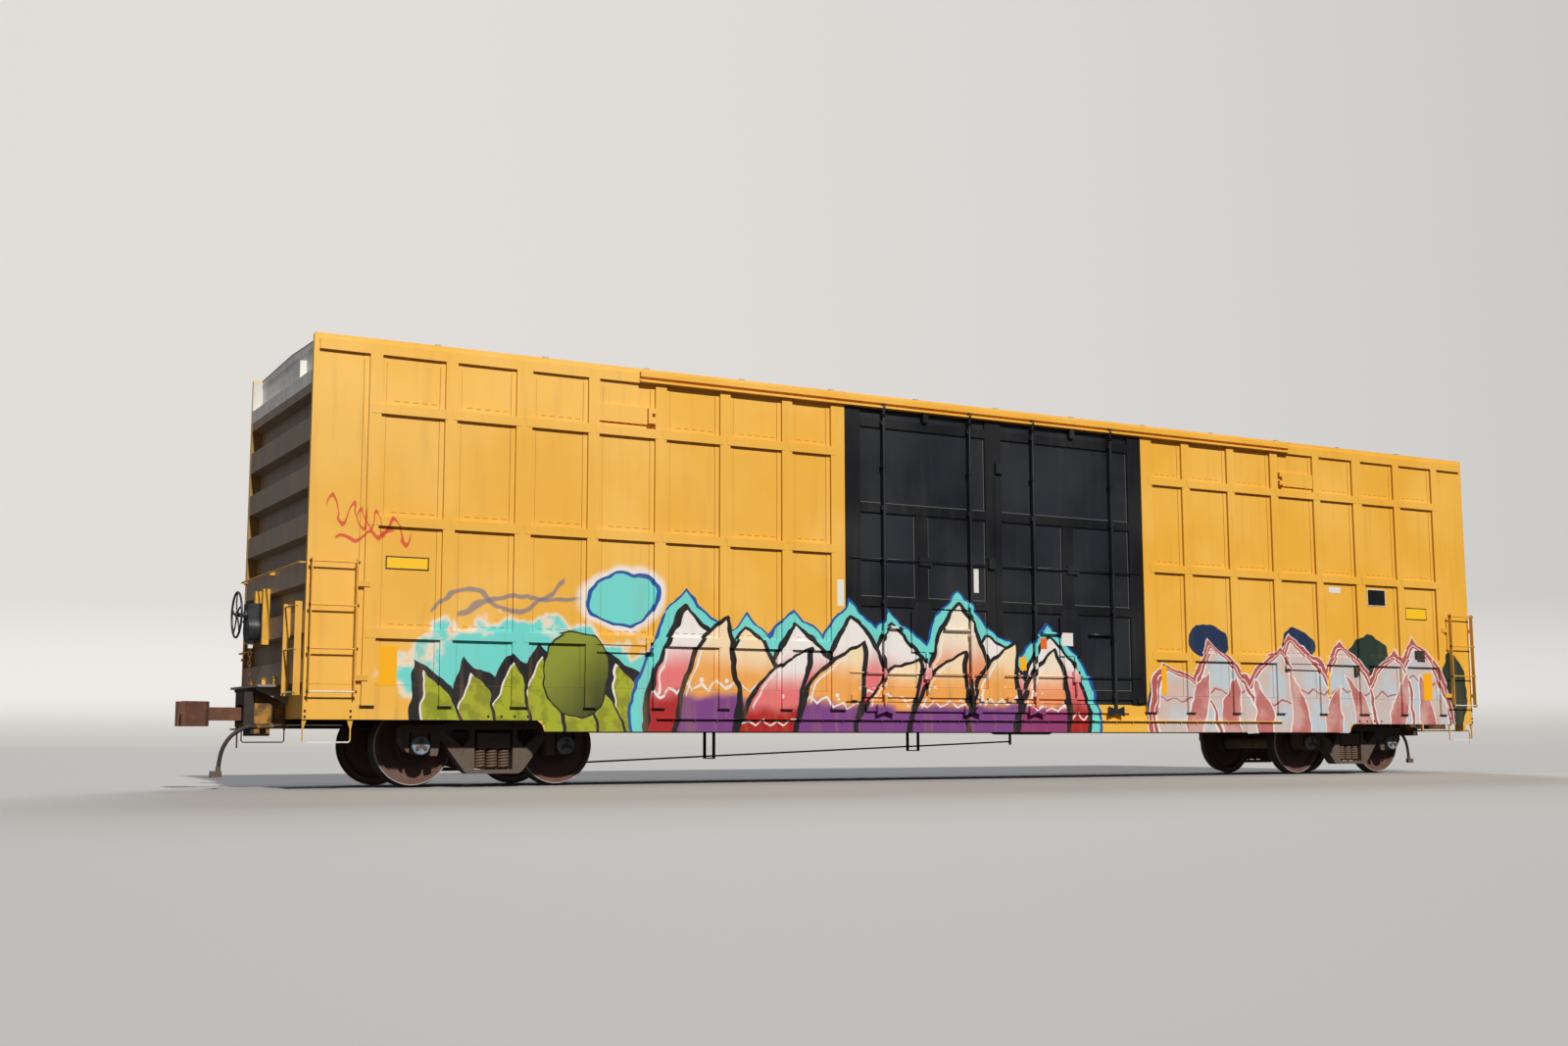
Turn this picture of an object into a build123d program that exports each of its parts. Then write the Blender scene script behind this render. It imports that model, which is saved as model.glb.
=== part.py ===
"""Sixty-foot railroad boxcar with double plug doors, standing on its two trucks.

Millimetres. The origin is at the middle of the car, at the lowest point of the wheel
flanges. +X runs towards the A end, -X towards the B end with the hand brake, +Z is up,
and the car's right side is -Y.
"""
from build123d import *
import math
import os

os.makedirs("parts", exist_ok=True)

# The car stands on its wheel flanges, which reach this far below the tread.
FLANGE_HEIGHT = 25.4


def up(height):
    """Turn a height above the rail top into z."""
    return height + FLANGE_HEIGHT


# Body
HALF_LENGTH = 9391
SHEET_FACE = 1520
POST_FACE = 1560
RIB_FACE = 1564
WALL_INNER = 1448
SEAM_FLANGE = 57
SEAM_THICK = 4
CORNER_PLATE_X = 9357
CORNER_INNER = 1470
END_OUTER = 9250
END_INNER = 9200
END_BAR_FACE = 9385
DOOR_HALF = 2507
BAND_HALF = 9332
CHORD_BOTTOM = up(4848)
BAND_TOP = up(4969)
CHORD_TOP = up(5012)
EAVE = up(5034)
ROOF_EDGE = 1500
ROOF_HALF_LENGTH = 9280
ROOF_RISE = 43
SILL_TOP = up(1130)
THRESHOLD_TOP = up(995)
SILL_BOTTOM_END = up(744)
SILL_BOTTOM_MIDDLE = up(616)
SILL_STEP_X = 6620
SILL_PLATE = 12
SILL_INNER = SHEET_FACE - SILL_PLATE
FLOOR_TOP = up(1100)
FLOOR_THICK = 45
FLOOR_BOTTOM = FLOOR_TOP - FLOOR_THICK
TRACK_FACE = 1612
TRACK_HALF = 5440
LOWER_TRACK_HALF = 5160

# Side posts: distance of the outer and of the inner edge from the middle of the car
POSTS = (
    (8763, 8621),
    (7877, 7736),
    (7015, 6818),
    (6102, 5961),
    (5217, 5066),
    (4325, 4181),
    (3437, 3289),
    (2711, 2507),
)
POST_BOTTOM = up(900)
RIB_BOTTOMS = (1643, 2902, 4175)
RIB_HEIGHT = 110
RIB_TAPER = 20

# Running gear
TRUCK_X = 7048.5
WHEELBASE = 1778
TREAD_RADIUS = 457.2
AXLE_Z = FLANGE_HEIGHT + TREAD_RADIUS
RIM_INNER = 678
RIM_OUTER = 823
JOURNAL_Y = 1003
JOURNAL_RADIUS = 78.6
JOURNAL_CLEARANCE = 0.05
BEARING_RADIUS = 110
BEARING_WIDTH = 180
CAP_RADIUS = 105
CAP_OUTER = 1147
FRAME_INNER = 920
FRAME_OUTER = 1090
BOWL_RADIUS = 208
CENTRE_PLATE_RADIUS = 203

# Draft gear
STRIKER_X = 9730
PULLING_FACE_X = 10350
COUPLER_Z = up(820)
COUPLER_PIVOT = 1092
SILL_CLEAR = 163.5
CENTRE_SILL_TOP = FLOOR_BOTTOM
CENTRE_SILL_BOTTOM = up(700)


def save(part, name):
    """Write one finished piece under its node name."""
    part.label = name
    export_step(part, f"parts/{name}.step")


def block(x0, x1, y0, y1, z0, z1, mode=Mode.ADD):
    """Add a block between two corners to the part being built."""
    with Locations(((x0 + x1) / 2, (y0 + y1) / 2, (z0 + z1) / 2)):
        Box(abs(x1 - x0), abs(y1 - y0), abs(z1 - z0), mode=mode)


def prism(plane, points, depth, mode=Mode.ADD):
    """Extrude a polygon drawn on a plane."""
    with BuildSketch(plane) as outline:
        Polygon(*points, align=None)
    extrude(outline.sketch, amount=depth, mode=mode)


def rod(start, end, radius, mode=Mode.ADD):
    """Add a round bar between two points."""
    along = Vector(*end) - Vector(*start)
    with BuildSketch(Plane(origin=start, z_dir=along)) as section:
        Circle(radius)
    extrude(section.sketch, amount=along.length, mode=mode)


def bent_rod(points, bend, radius):
    """Add a round bar along straight runs joined by bends of one radius."""
    with BuildLine() as path:
        FilletPolyline(*points, radius=bend)
    with BuildSketch(Plane(origin=path.line @ 0, z_dir=path.line % 0)) as section:
        Circle(radius)
    sweep(section.sketch, path=path.line)


def both_sides(points):
    """Complete a half outline, given from the centreline outwards, with its mirror image."""
    return list(points) + [(-u, v) for u, v in reversed(points) if abs(u) > 0]


# Centre sill
web_outer = SILL_CLEAR + SILL_PLATE
flange_outer = 263
flange_top = CENTRE_SILL_BOTTOM + 14
with BuildPart() as centre_sill:
    prism(
        Plane.YZ.offset(-STRIKER_X + 90),
        [
            (flange_outer, CENTRE_SILL_BOTTOM),
            (flange_outer, flange_top),
            (web_outer, flange_top),
            (web_outer, CENTRE_SILL_TOP),
            (-web_outer, CENTRE_SILL_TOP),
            (-web_outer, flange_top),
            (-flange_outer, flange_top),
            (-flange_outer, CENTRE_SILL_BOTTOM),
            (-SILL_CLEAR, CENTRE_SILL_BOTTOM),
            (-SILL_CLEAR, CENTRE_SILL_TOP - SILL_PLATE),
            (SILL_CLEAR, CENTRE_SILL_TOP - SILL_PLATE),
            (SILL_CLEAR, CENTRE_SILL_BOTTOM),
        ],
        2 * (STRIKER_X - 90),
    )
save(centre_sill.part, "centre_sill")

# Side sills: a plate with a deeper middle and a lower edge under the doors, with flanges behind it
FLANGE_INNER = 1470
with BuildPart() as side_sill:
    prism(
        Plane.XZ.offset(SILL_INNER),
        both_sides([
            (DOOR_HALF, THRESHOLD_TOP),
            (DOOR_HALF, SILL_TOP),
            (CORNER_PLATE_X, SILL_TOP),
            (CORNER_PLATE_X, SILL_BOTTOM_END),
            (SILL_STEP_X + 60, SILL_BOTTOM_END),
            (SILL_STEP_X, SILL_BOTTOM_END - 50),
            (SILL_STEP_X - 30, SILL_BOTTOM_MIDDLE),
        ]),
        SILL_PLATE,
    )
    block(-DOOR_HALF, DOOR_HALF, -SILL_INNER, -WALL_INNER, THRESHOLD_TOP - 95, THRESHOLD_TOP)
    block(
        30 - SILL_STEP_X, SILL_STEP_X - 30,
        -SILL_INNER, -FLANGE_INNER,
        SILL_BOTTOM_MIDDLE, SILL_BOTTOM_MIDDLE + SILL_PLATE,
    )
    for end in (-1, 1):
        block(
            end * DOOR_HALF, end * END_OUTER,
            -SILL_INNER, -WALL_INNER,
            FLOOR_BOTTOM, SILL_TOP,
        )
        block(
            end * (SILL_STEP_X + 60), end * END_OUTER,
            -SILL_INNER, -FLANGE_INNER,
            SILL_BOTTOM_END, SILL_BOTTOM_END + SILL_PLATE,
        )
with BuildPart() as side_sills:
    add(side_sill.part)
    mirror(about=Plane.XZ)
save(side_sills.part, "side_sills")

# Body bolsters, with the centre plate and side bearings on their undersides
BOLSTER_HALF_WIDTH = 180
CENTRE_PLATE_BOTTOM = up(633)
SIDE_BEARING_Y = 635
with BuildPart() as body_bolsters:
    for end in (-1, 1):
        for side in (-1, 1):
            prism(
                Plane.YZ.offset(end * TRUCK_X - BOLSTER_HALF_WIDTH),
                [
                    (side * web_outer, CENTRE_SILL_TOP),
                    (side * WALL_INNER, FLOOR_BOTTOM),
                    (side * WALL_INNER, up(880)),
                    (side * 900, up(850)),
                    (side * 760, up(714)),
                    (side * web_outer, up(714)),
                ],
                2 * BOLSTER_HALF_WIDTH,
            )
            with Locations((end * TRUCK_X, side * SIDE_BEARING_Y, (up(667) + up(714)) / 2)):
                Box(260, 110, 47)
        block(
            end * TRUCK_X - BOLSTER_HALF_WIDTH,
            end * TRUCK_X + BOLSTER_HALF_WIDTH,
            -SILL_CLEAR,
            SILL_CLEAR,
            CENTRE_SILL_BOTTOM,
            CENTRE_SILL_TOP - SILL_PLATE,
        )
        with Locations((end * TRUCK_X, 0, (CENTRE_PLATE_BOTTOM + CENTRE_SILL_BOTTOM) / 2)):
            Cylinder(CENTRE_PLATE_RADIUS, CENTRE_SILL_BOTTOM - CENTRE_PLATE_BOTTOM)
save(body_bolsters.part, "body_bolsters")

# Crossbearers, which taper towards the sides
CROSSBEARER_X = (1300, 2600, 3900, 5150)
with BuildPart() as crossbearers:
    for x in [end * x for end in (-1, 1) for x in CROSSBEARER_X]:
        for side in (-1, 1):
            prism(
                Plane.YZ.offset(x - 30),
                [
                    (side * web_outer, up(740)),
                    (side * web_outer, FLOOR_BOTTOM),
                    (side * WALL_INNER, FLOOR_BOTTOM),
                    (side * WALL_INNER, up(880)),
                ],
                60,
            )
save(crossbearers.part, "crossbearers")

with BuildPart() as floor:
    block(-END_INNER, END_INNER, -WALL_INNER, WALL_INNER, FLOOR_BOTTOM, FLOOR_TOP)
save(floor.part, "floor")

# Door stops: plates across the bay next to each door, with a bracket at the door's end
STOP_BAY = (5217, 5961)
STOPS = ((1553, 1745), (4340, 4550))


def rib(outer, inner, bottom):
    """Add a flush rib between two places, with its lower edge drawn in at both ends."""
    prism(
        Plane.XZ.offset(SHEET_FACE),
        [
            (outer, up(bottom + RIB_HEIGHT)),
            (outer - RIB_TAPER, up(bottom)),
            (inner + RIB_TAPER, up(bottom)),
            (inner, up(bottom + RIB_HEIGHT)),
        ],
        RIB_FACE - SHEET_FACE,
    )


# One quarter of the side walls, on the right side towards the A end
RIB_LAP = 0.42
with BuildPart() as wall:
    block(DOOR_HALF, END_OUTER, -SHEET_FACE, -WALL_INNER, SILL_TOP, CHORD_BOTTOM)
    block(END_OUTER, CORNER_PLATE_X, -SHEET_FACE, -SILL_INNER, SILL_TOP, CHORD_BOTTOM)
    for outer, inner in POSTS:
        block(inner, outer, -POST_FACE, -SHEET_FACE, POST_BOTTOM, CHORD_BOTTOM)
        block(
            max(inner - SEAM_FLANGE, DOOR_HALF), outer + SEAM_FLANGE,
            -SHEET_FACE - SEAM_THICK, -SHEET_FACE,
            SILL_TOP, CHORD_BOTTOM,
        )
    for number, (post, next_post) in enumerate(zip(POSTS, POSTS[1:])):
        lap = RIB_LAP * (post[0] - post[1])
        next_lap = RIB_LAP * (next_post[0] - next_post[1])
        start = post[0] - 12 if number == 0 else post[1] + lap
        for bottom in RIB_BOTTOMS:
            rib(start, next_post[0] - next_lap, bottom)
    for low, high in STOPS:
        block(*STOP_BAY, -SHEET_FACE - 28, -SHEET_FACE, up(low), up(high))
        block(STOP_BAY[0] + 8, STOP_BAY[0] + 110, -SHEET_FACE - 75, -SHEET_FACE - 28, up(low + 10), up(high - 10))
        block(
            STOP_BAY[0] + 8, STOP_BAY[0] + 60,
            -SHEET_FACE - 75, -SHEET_FACE - 28,
            up((low + high) / 2 - 30), up((low + high) / 2 + 30),
            mode=Mode.SUBTRACT,
        )
    prism(
        Plane.XY.offset(SILL_BOTTOM_END),
        [
            (HALF_LENGTH, -SHEET_FACE),
            (HALF_LENGTH, -CORNER_INNER),
            (END_OUTER, -CORNER_INNER),
            (END_OUTER, -SILL_INNER),
            (CORNER_PLATE_X, -SILL_INNER),
            (CORNER_PLATE_X, -SHEET_FACE),
        ],
        CHORD_TOP - SILL_BOTTOM_END,
    )
save(wall.part, "wall_right_a")
save(wall.part.mirror(Plane.YZ), "wall_right_b")
save(wall.part.mirror(Plane.XZ), "wall_left_a")
save(wall.part.mirror(Plane.YZ).mirror(Plane.XZ), "wall_left_b")

# Top chords, with a band that stands out and a narrow eave above it
with BuildPart() as top_chord:
    prism(
        Plane.YZ.offset(-END_OUTER),
        [
            (-WALL_INNER, CHORD_BOTTOM),
            (-SHEET_FACE, CHORD_BOTTOM),
            (-SHEET_FACE, EAVE),
            (-ROOF_EDGE, EAVE),
            (-ROOF_EDGE, CHORD_TOP),
            (-WALL_INNER, CHORD_TOP),
        ],
        2 * END_OUTER,
    )
    block(-BAND_HALF, BAND_HALF, -POST_FACE, -SHEET_FACE, CHORD_BOTTOM, BAND_TOP)
    for end in (-1, 1):
        block(end * END_OUTER, end * CORNER_PLATE_X, -SHEET_FACE, -SILL_INNER, CHORD_BOTTOM, CHORD_TOP)
        block(end * END_OUTER, end * HALF_LENGTH, -SHEET_FACE, -ROOF_EDGE, CHORD_TOP, EAVE)
    mirror(about=Plane.XZ)
save(top_chord.part, "top_chords")

# Door tracks: a slotted rail along the chord, a ledge under the doors and a shelf along the
# sill, which stands on a row of gussets
LEDGE_HALF = 2200
SHELF_TOP = up(778)
SHELF_THICK = 11
GUSSET_STEP = 300
GUSSET_COUNT = 34
with BuildPart() as door_tracks:
    prism(
        Plane.YZ.offset(-TRACK_HALF),
        [
            (-POST_FACE, up(4980)),
            (-TRACK_FACE, up(4980)),
            (-TRACK_FACE, up(4920)),
            (-POST_FACE - 14, up(4920)),
            (-POST_FACE - 14, up(4877)),
            (-TRACK_FACE, up(4877)),
            (-TRACK_FACE, up(4856)),
            (-POST_FACE, up(4856)),
        ],
        2 * TRACK_HALF,
    )
    block(-LEDGE_HALF, LEDGE_HALF, -1556, -SHEET_FACE, up(880), THRESHOLD_TOP)
    block(-LOWER_TRACK_HALF, LOWER_TRACK_HALF, -1562, -SHEET_FACE, SHELF_TOP - SHELF_THICK, SHELF_TOP)
    for number in range(GUSSET_COUNT):
        prism(
            Plane.YZ.offset((number - (GUSSET_COUNT - 1) / 2) * GUSSET_STEP - 4),
            [
                (-SHEET_FACE, SHELF_TOP - SHELF_THICK),
                (-1556, SHELF_TOP - SHELF_THICK),
                (-1548, SHELF_TOP - 38),
                (-SHEET_FACE, SHELF_TOP - 56),
            ],
            8,
        )
    mirror(about=Plane.XZ)
save(door_tracks.part, "door_tracks")

# Roof: almost flat, with a cap over each seam and a raised band in each panel
ROOF_PANELS = 14
panel = 2 * ROOF_HALF_LENGTH / ROOF_PANELS


def gable(x0, x1, half_width, thick):
    """Add a band of one thickness that lies on the roof, between two places along the car."""
    rise = ROOF_RISE * half_width / ROOF_EDGE
    top = EAVE + ROOF_RISE - rise + thick
    drop = thick + 5
    prism(
        Plane.YZ.offset(x0),
        [
            (-half_width, top),
            (0, top + rise),
            (half_width, top),
            (half_width, top - drop),
            (0, top + rise - drop),
            (-half_width, top - drop),
        ],
        x1 - x0,
    )


with BuildPart() as roof:
    prism(
        Plane.YZ.offset(-ROOF_HALF_LENGTH),
        [
            (-ROOF_EDGE, CHORD_TOP),
            (-ROOF_EDGE, EAVE),
            (0, EAVE + ROOF_RISE),
            (ROOF_EDGE, EAVE),
            (ROOF_EDGE, CHORD_TOP),
            (WALL_INNER, CHORD_TOP),
            (0, CHORD_TOP + ROOF_RISE),
            (-WALL_INNER, CHORD_TOP),
        ],
        2 * ROOF_HALF_LENGTH,
    )
    for number in range(1, ROOF_PANELS):
        seam = -ROOF_HALF_LENGTH + number * panel
        gable(seam - 30, seam + 30, ROOF_EDGE - 8, 20)
    for number in range(ROOF_PANELS):
        middle = -ROOF_HALF_LENGTH + (number + 0.5) * panel
        for side in (-1, 1):
            gable(middle + side * 250 - 90, middle + side * 250 + 90, ROOF_EDGE - 120, 14)
save(roof.part, "roof")

# End sills and end walls
with BuildPart() as end_sills:
    for end in (-1, 1):
        block(end * END_INNER, end * END_OUTER, -CORNER_INNER, CORNER_INNER, up(760), FLOOR_BOTTOM)
        block(end * END_INNER, end * END_OUTER, -web_outer, web_outer, up(760), FLOOR_BOTTOM, mode=Mode.SUBTRACT)
save(end_sills.part, "end_sills")

# Bars of the end walls: bottom and top of the flat face of each
END_BARS = (
    (1150, 1400),
    (1690, 1940),
    (2230, 2480),
    (2765, 3010),
    (3300, 3550),
    (3830, 4090),
    (4370, 4630),
)
BAR_BEVEL = 24
with BuildPart() as end_wall:
    prism(
        Plane.YZ.offset(END_INNER),
        [
            (-WALL_INNER, FLOOR_BOTTOM),
            (-WALL_INNER, CHORD_TOP),
            (0, CHORD_TOP + ROOF_RISE),
            (WALL_INNER, CHORD_TOP),
            (WALL_INNER, FLOOR_BOTTOM),
        ],
        END_OUTER - END_INNER,
    )
    for low, high in END_BARS:
        prism(
            Plane.XZ.offset(-CORNER_INNER),
            [
                (END_OUTER, up(low) - BAR_BEVEL),
                (END_BAR_FACE, up(low)),
                (END_BAR_FACE, up(high)),
                (END_OUTER, up(high) + BAR_BEVEL),
            ],
            2 * CORNER_INNER,
        )
    block(END_OUTER, END_OUTER + 22, -CORNER_INNER, CORNER_INNER, up(4660), up(4980))
    prism(
        Plane.YZ.offset(END_OUTER),
        [
            (-CORNER_INNER, up(4970)),
            (-CORNER_INNER, CHORD_TOP),
            (-WALL_INNER, CHORD_TOP),
            (0, CHORD_TOP + ROOF_RISE),
            (WALL_INNER, CHORD_TOP),
            (CORNER_INNER, CHORD_TOP),
            (CORNER_INNER, up(4970)),
        ],
        ROOF_HALF_LENGTH - END_OUTER,
    )
save(end_wall.part, "end_wall_a")
save(end_wall.part.mirror(Plane.YZ), "end_wall_b")

# Plug door leaves of the right side
DOOR_GAP = 6
LEAF_MEETING = -100
DOOR_BOTTOM = up(1005)
DOOR_TOP = CHORD_BOTTOM - 8
DOOR_FACE = 1548
DOOR_RIBS = (1123, 2300, 3530, 4661)
DOOR_RIB = 120
DOOR_FRAME = 240
DOOR_POST = 200
PLACARD_PLATE = (1660, 2310)


def door_leaf(x0, x1, frame_left, frame_right, post_x):
    """Add one leaf between two places along the car, with its frames, ribs and middle post."""
    block(x0, x1, -SHEET_FACE, -WALL_INNER, DOOR_BOTTOM, DOOR_TOP)
    for height in DOOR_RIBS:
        block(x0, x1, -DOOR_FACE, -SHEET_FACE, up(height) - DOOR_RIB / 2, up(height) + DOOR_RIB / 2)
    for left, right in ((x0, x0 + frame_left), (x1 - frame_right, x1)):
        block(left, right, -DOOR_FACE, -SHEET_FACE, DOOR_BOTTOM, DOOR_TOP)
    post_left = post_x - DOOR_POST / 2
    post_right = post_x + DOOR_POST / 2
    block(post_left, post_right, -DOOR_FACE + 8, -SHEET_FACE, DOOR_BOTTOM, up(DOOR_RIBS[2]))
    plate_left = post_left - 80
    plate_right = post_right + 80
    low, high = PLACARD_PLATE
    prism(
        Plane.XZ.offset(DOOR_FACE),
        [
            (plate_left, up(low)),
            (plate_left, up(high - 120)),
            (plate_left + 110, up(high)),
            (plate_right - 110, up(high)),
            (plate_right, up(high - 120)),
            (plate_right, up(low)),
        ],
        5,
    )
    block(post_left, post_right, -DOOR_FACE, -DOOR_FACE + 8, up(low), up(high))


def latch_box(x, height):
    """Add the box of a latch, with its edges drawn in towards the front."""
    prism(
        Plane.YZ.offset(x - 55),
        [
            (-DOOR_FACE, up(height) - 85),
            (-DOOR_FACE - 40, up(height) - 65),
            (-DOOR_FACE - 40, up(height) + 65),
            (-DOOR_FACE, up(height) + 85),
        ],
        110,
    )


with BuildPart() as leaf_a:
    door_leaf(LEAF_MEETING + DOOR_GAP / 2, DOOR_HALF - DOOR_GAP, 110, DOOR_FRAME, 1160)
    latch_box(-38, 4190)
with BuildPart() as leaf_b:
    door_leaf(-DOOR_HALF + DOOR_GAP, LEAF_MEETING - DOOR_GAP / 2, DOOR_FRAME, 150, -1300)
    latch_box(-182, 2875)
save(leaf_a.part, "door_right_a")
save(leaf_b.part, "door_right_b")
save(leaf_a.part.rotate(Axis.Z, 180), "door_left_b")
save(leaf_b.part.rotate(Axis.Z, 180), "door_left_a")

# Lock bars of the doors: upright pipes with their guides and foot cranks
LOCK_PIPES = (-1918, -535, 535, 1918)
LOCK_RADIUS = 21
LOCK_Y = 1590
with BuildPart() as lock_bars:
    for x in LOCK_PIPES:
        rod((x, -LOCK_Y, up(900)), (x, -LOCK_Y, up(4765)), LOCK_RADIUS)
        for height in DOOR_RIBS:
            block(x - 40, x + 40, -LOCK_Y - 6, -DOOR_FACE, up(height) - 28, up(height) + 28)
        prism(
            Plane.XZ.offset(LOCK_Y - 14),
            [
                (x - 135, up(835)),
                (x - 135, up(970)),
                (x, up(925)),
                (x + 135, up(970)),
                (x + 135, up(835)),
                (x, up(880)),
            ],
            28,
        )
    mirror(about=Plane.XZ)
save(lock_bars.part, "lock_bars")

# Ladders on the sides, one at each corner: two stiles on brackets and four rungs
STILE = 12
LADDER_OUTER = 9364
LADDER_INNER = 8865
LADDER_Y = (1572, 1632)
BRACKETS = (1200, 2240)
RUNG_HEIGHTS = (1044, 1513, 1989, 2468)
RUNG_RADIUS = 9.5
RUNG_Y = 1614
with BuildPart() as side_ladder:
    for x in (LADDER_OUTER, LADDER_INNER):
        block(x - STILE, x, -LADDER_Y[1], -LADDER_Y[0], up(1015), up(2500))
    for height in BRACKETS:
        block(LADDER_OUTER - STILE, LADDER_OUTER, -LADDER_Y[0], -SHEET_FACE, up(height) - 30, up(height) + 30)
        block(POSTS[0][1] + 80, LADDER_INNER, -LADDER_Y[0], -POST_FACE, up(height) - 30, up(height) + 30)
    for height in RUNG_HEIGHTS:
        rod(
            (LADDER_INNER - STILE - 14, -RUNG_Y, up(height)),
            (LADDER_OUTER + 14, -RUNG_Y, up(height)),
            RUNG_RADIUS,
        )
with BuildPart() as side_ladders:
    add(side_ladder.part)
    mirror(about=Plane.YZ)
    mirror(about=Plane.XZ)
save(side_ladders.part, "side_ladders")

# Sill steps under the side ladders: a flat bar bent to a stirrup, with a wider tread
STEP_TREAD = up(504)
STEP_OUTER = 9385
STEP_INNER = 8850
with BuildPart() as sill_step:
    with BuildSketch(Plane.XZ.offset(SILL_INNER - 22)):
        Polygon(
            (STEP_INNER - 22, SILL_BOTTOM_END),
            (STEP_INNER + 48, SILL_BOTTOM_END),
            (STEP_INNER + 14, up(640)),
            (STEP_INNER + 14, STEP_TREAD + 16),
            (STEP_INNER + 30, STEP_TREAD),
            (STEP_OUTER - 30, STEP_TREAD),
            (STEP_OUTER - 14, STEP_TREAD + 16),
            (STEP_OUTER - 14, up(640)),
            (STEP_OUTER - 48, SILL_BOTTOM_END),
            (STEP_OUTER + 6, SILL_BOTTOM_END),
            (STEP_OUTER, up(640)),
            (STEP_OUTER, STEP_TREAD + 12),
            (STEP_OUTER - 24, STEP_TREAD - 12),
            (STEP_INNER + 24, STEP_TREAD - 12),
            (STEP_INNER, STEP_TREAD + 12),
            (STEP_INNER, up(640)),
            align=None,
        )
    extrude(amount=14)
    block(STEP_INNER + 44, STEP_OUTER - 44, -1520, -1466, STEP_TREAD - 14, STEP_TREAD + 2)
with BuildPart() as sill_steps:
    add(sill_step.part)
    mirror(about=Plane.YZ)
    mirror(about=Plane.XZ)
save(sill_steps.part, "sill_steps")

# Ladders on the ends, beside the right-hand corner seen from outside
END_LADDER_Y = (-825, -1340)
END_RUNGS = (1044, 1519, 2000)
STILE_DEPTH = 77
with BuildPart() as end_ladder:
    for y in END_LADDER_Y:
        block(-END_BAR_FACE, -END_BAR_FACE - STILE_DEPTH, y - STILE / 2, y + STILE / 2, up(1010), up(2040))
    for height in END_RUNGS:
        rod(
            (-END_BAR_FACE - 62, END_LADDER_Y[0] + 20, up(height)),
            (-END_BAR_FACE - 62, END_LADDER_Y[1] - 20, up(height)),
            RUNG_RADIUS,
        )
with BuildPart() as end_ladders:
    add(end_ladder.part)
    add(end_ladder.part.rotate(Axis.Z, 180))
save(end_ladders.part, "end_ladders")

# Handholds across the ends: a long one with a middle support, and a short one lower down
GRAB_HEIGHT = up(2460)
GRAB_STAND_OFF = 70
with BuildPart() as end_handhold:
    for y0, y1, height in ((-1440, 1440, GRAB_HEIGHT), (1000, 1440, up(1580))):
        bent_rod(
            [
                (-END_BAR_FACE, y1, height),
                (-END_BAR_FACE - GRAB_STAND_OFF, y1, height),
                (-END_BAR_FACE - GRAB_STAND_OFF, y0, height),
                (-END_BAR_FACE, y0, height),
            ],
            30,
            RUNG_RADIUS,
        )
    block(-END_BAR_FACE, -END_BAR_FACE - GRAB_STAND_OFF, -3, 3, GRAB_HEIGHT - 24, GRAB_HEIGHT + 16)
with BuildPart() as end_handholds:
    add(end_handhold.part)
    add(end_handhold.part.rotate(Axis.Z, 180))
save(end_handholds.part, "end_handholds")

# Hand brake on the B end: mounting bars, gear housing with its drum cover, wheel and platform
BRAKE_Y = 430
BRAKE_SHAFT_Z = up(1990)
DRUM_Z = up(1830)
MOUNT_FACE = -END_BAR_FACE - 80
HOUSING_FACE = MOUNT_FACE - 140
with BuildPart() as brake_housing:
    for y in (BRAKE_Y - 200, BRAKE_Y + 200):
        block(-END_BAR_FACE, MOUNT_FACE, y - 45, y + 45, up(1635), up(2290))
    block(MOUNT_FACE, MOUNT_FACE - 14, BRAKE_Y - 240, BRAKE_Y + 240, up(1680), up(2120))
    block(MOUNT_FACE - 14, HOUSING_FACE, BRAKE_Y - 120, BRAKE_Y + 120, DRUM_Z, up(2125))
    rod((MOUNT_FACE - 14, BRAKE_Y, DRUM_Z), (HOUSING_FACE + 8, BRAKE_Y, DRUM_Z), 166)
    rod((HOUSING_FACE, BRAKE_Y, BRAKE_SHAFT_Z), (HOUSING_FACE - 18, BRAKE_Y, BRAKE_SHAFT_Z), 60)
save(brake_housing.part, "brake_gear_housing")

BRAKE_WHEEL_X = HOUSING_FACE - 105
BRAKE_WHEEL_RADIUS = 279.5
RIM_RADIUS = 13
SPOKE = [
    (20, -15),
    (80, -34),
    (150, -40),
    (268, -12),
    (268, 12),
    (150, -14),
    (80, -4),
    (20, 15),
]
with BuildPart() as brake_wheel:
    with Locations(Plane(origin=(BRAKE_WHEEL_X, BRAKE_Y, BRAKE_SHAFT_Z), z_dir=(1, 0, 0))):
        Torus(BRAKE_WHEEL_RADIUS - RIM_RADIUS, RIM_RADIUS)
    with BuildSketch(Plane(origin=(BRAKE_WHEEL_X - 6, BRAKE_Y, BRAKE_SHAFT_Z), z_dir=(1, 0, 0))):
        with PolarLocations(0, 5):
            Polygon(*SPOKE, align=None)
        Circle(45)
    extrude(amount=12)
    rod((BRAKE_WHEEL_X - 16, BRAKE_Y, BRAKE_SHAFT_Z), (HOUSING_FACE - 18, BRAKE_Y, BRAKE_SHAFT_Z), 26)
save(brake_wheel.part, "brake_wheel")

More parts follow.
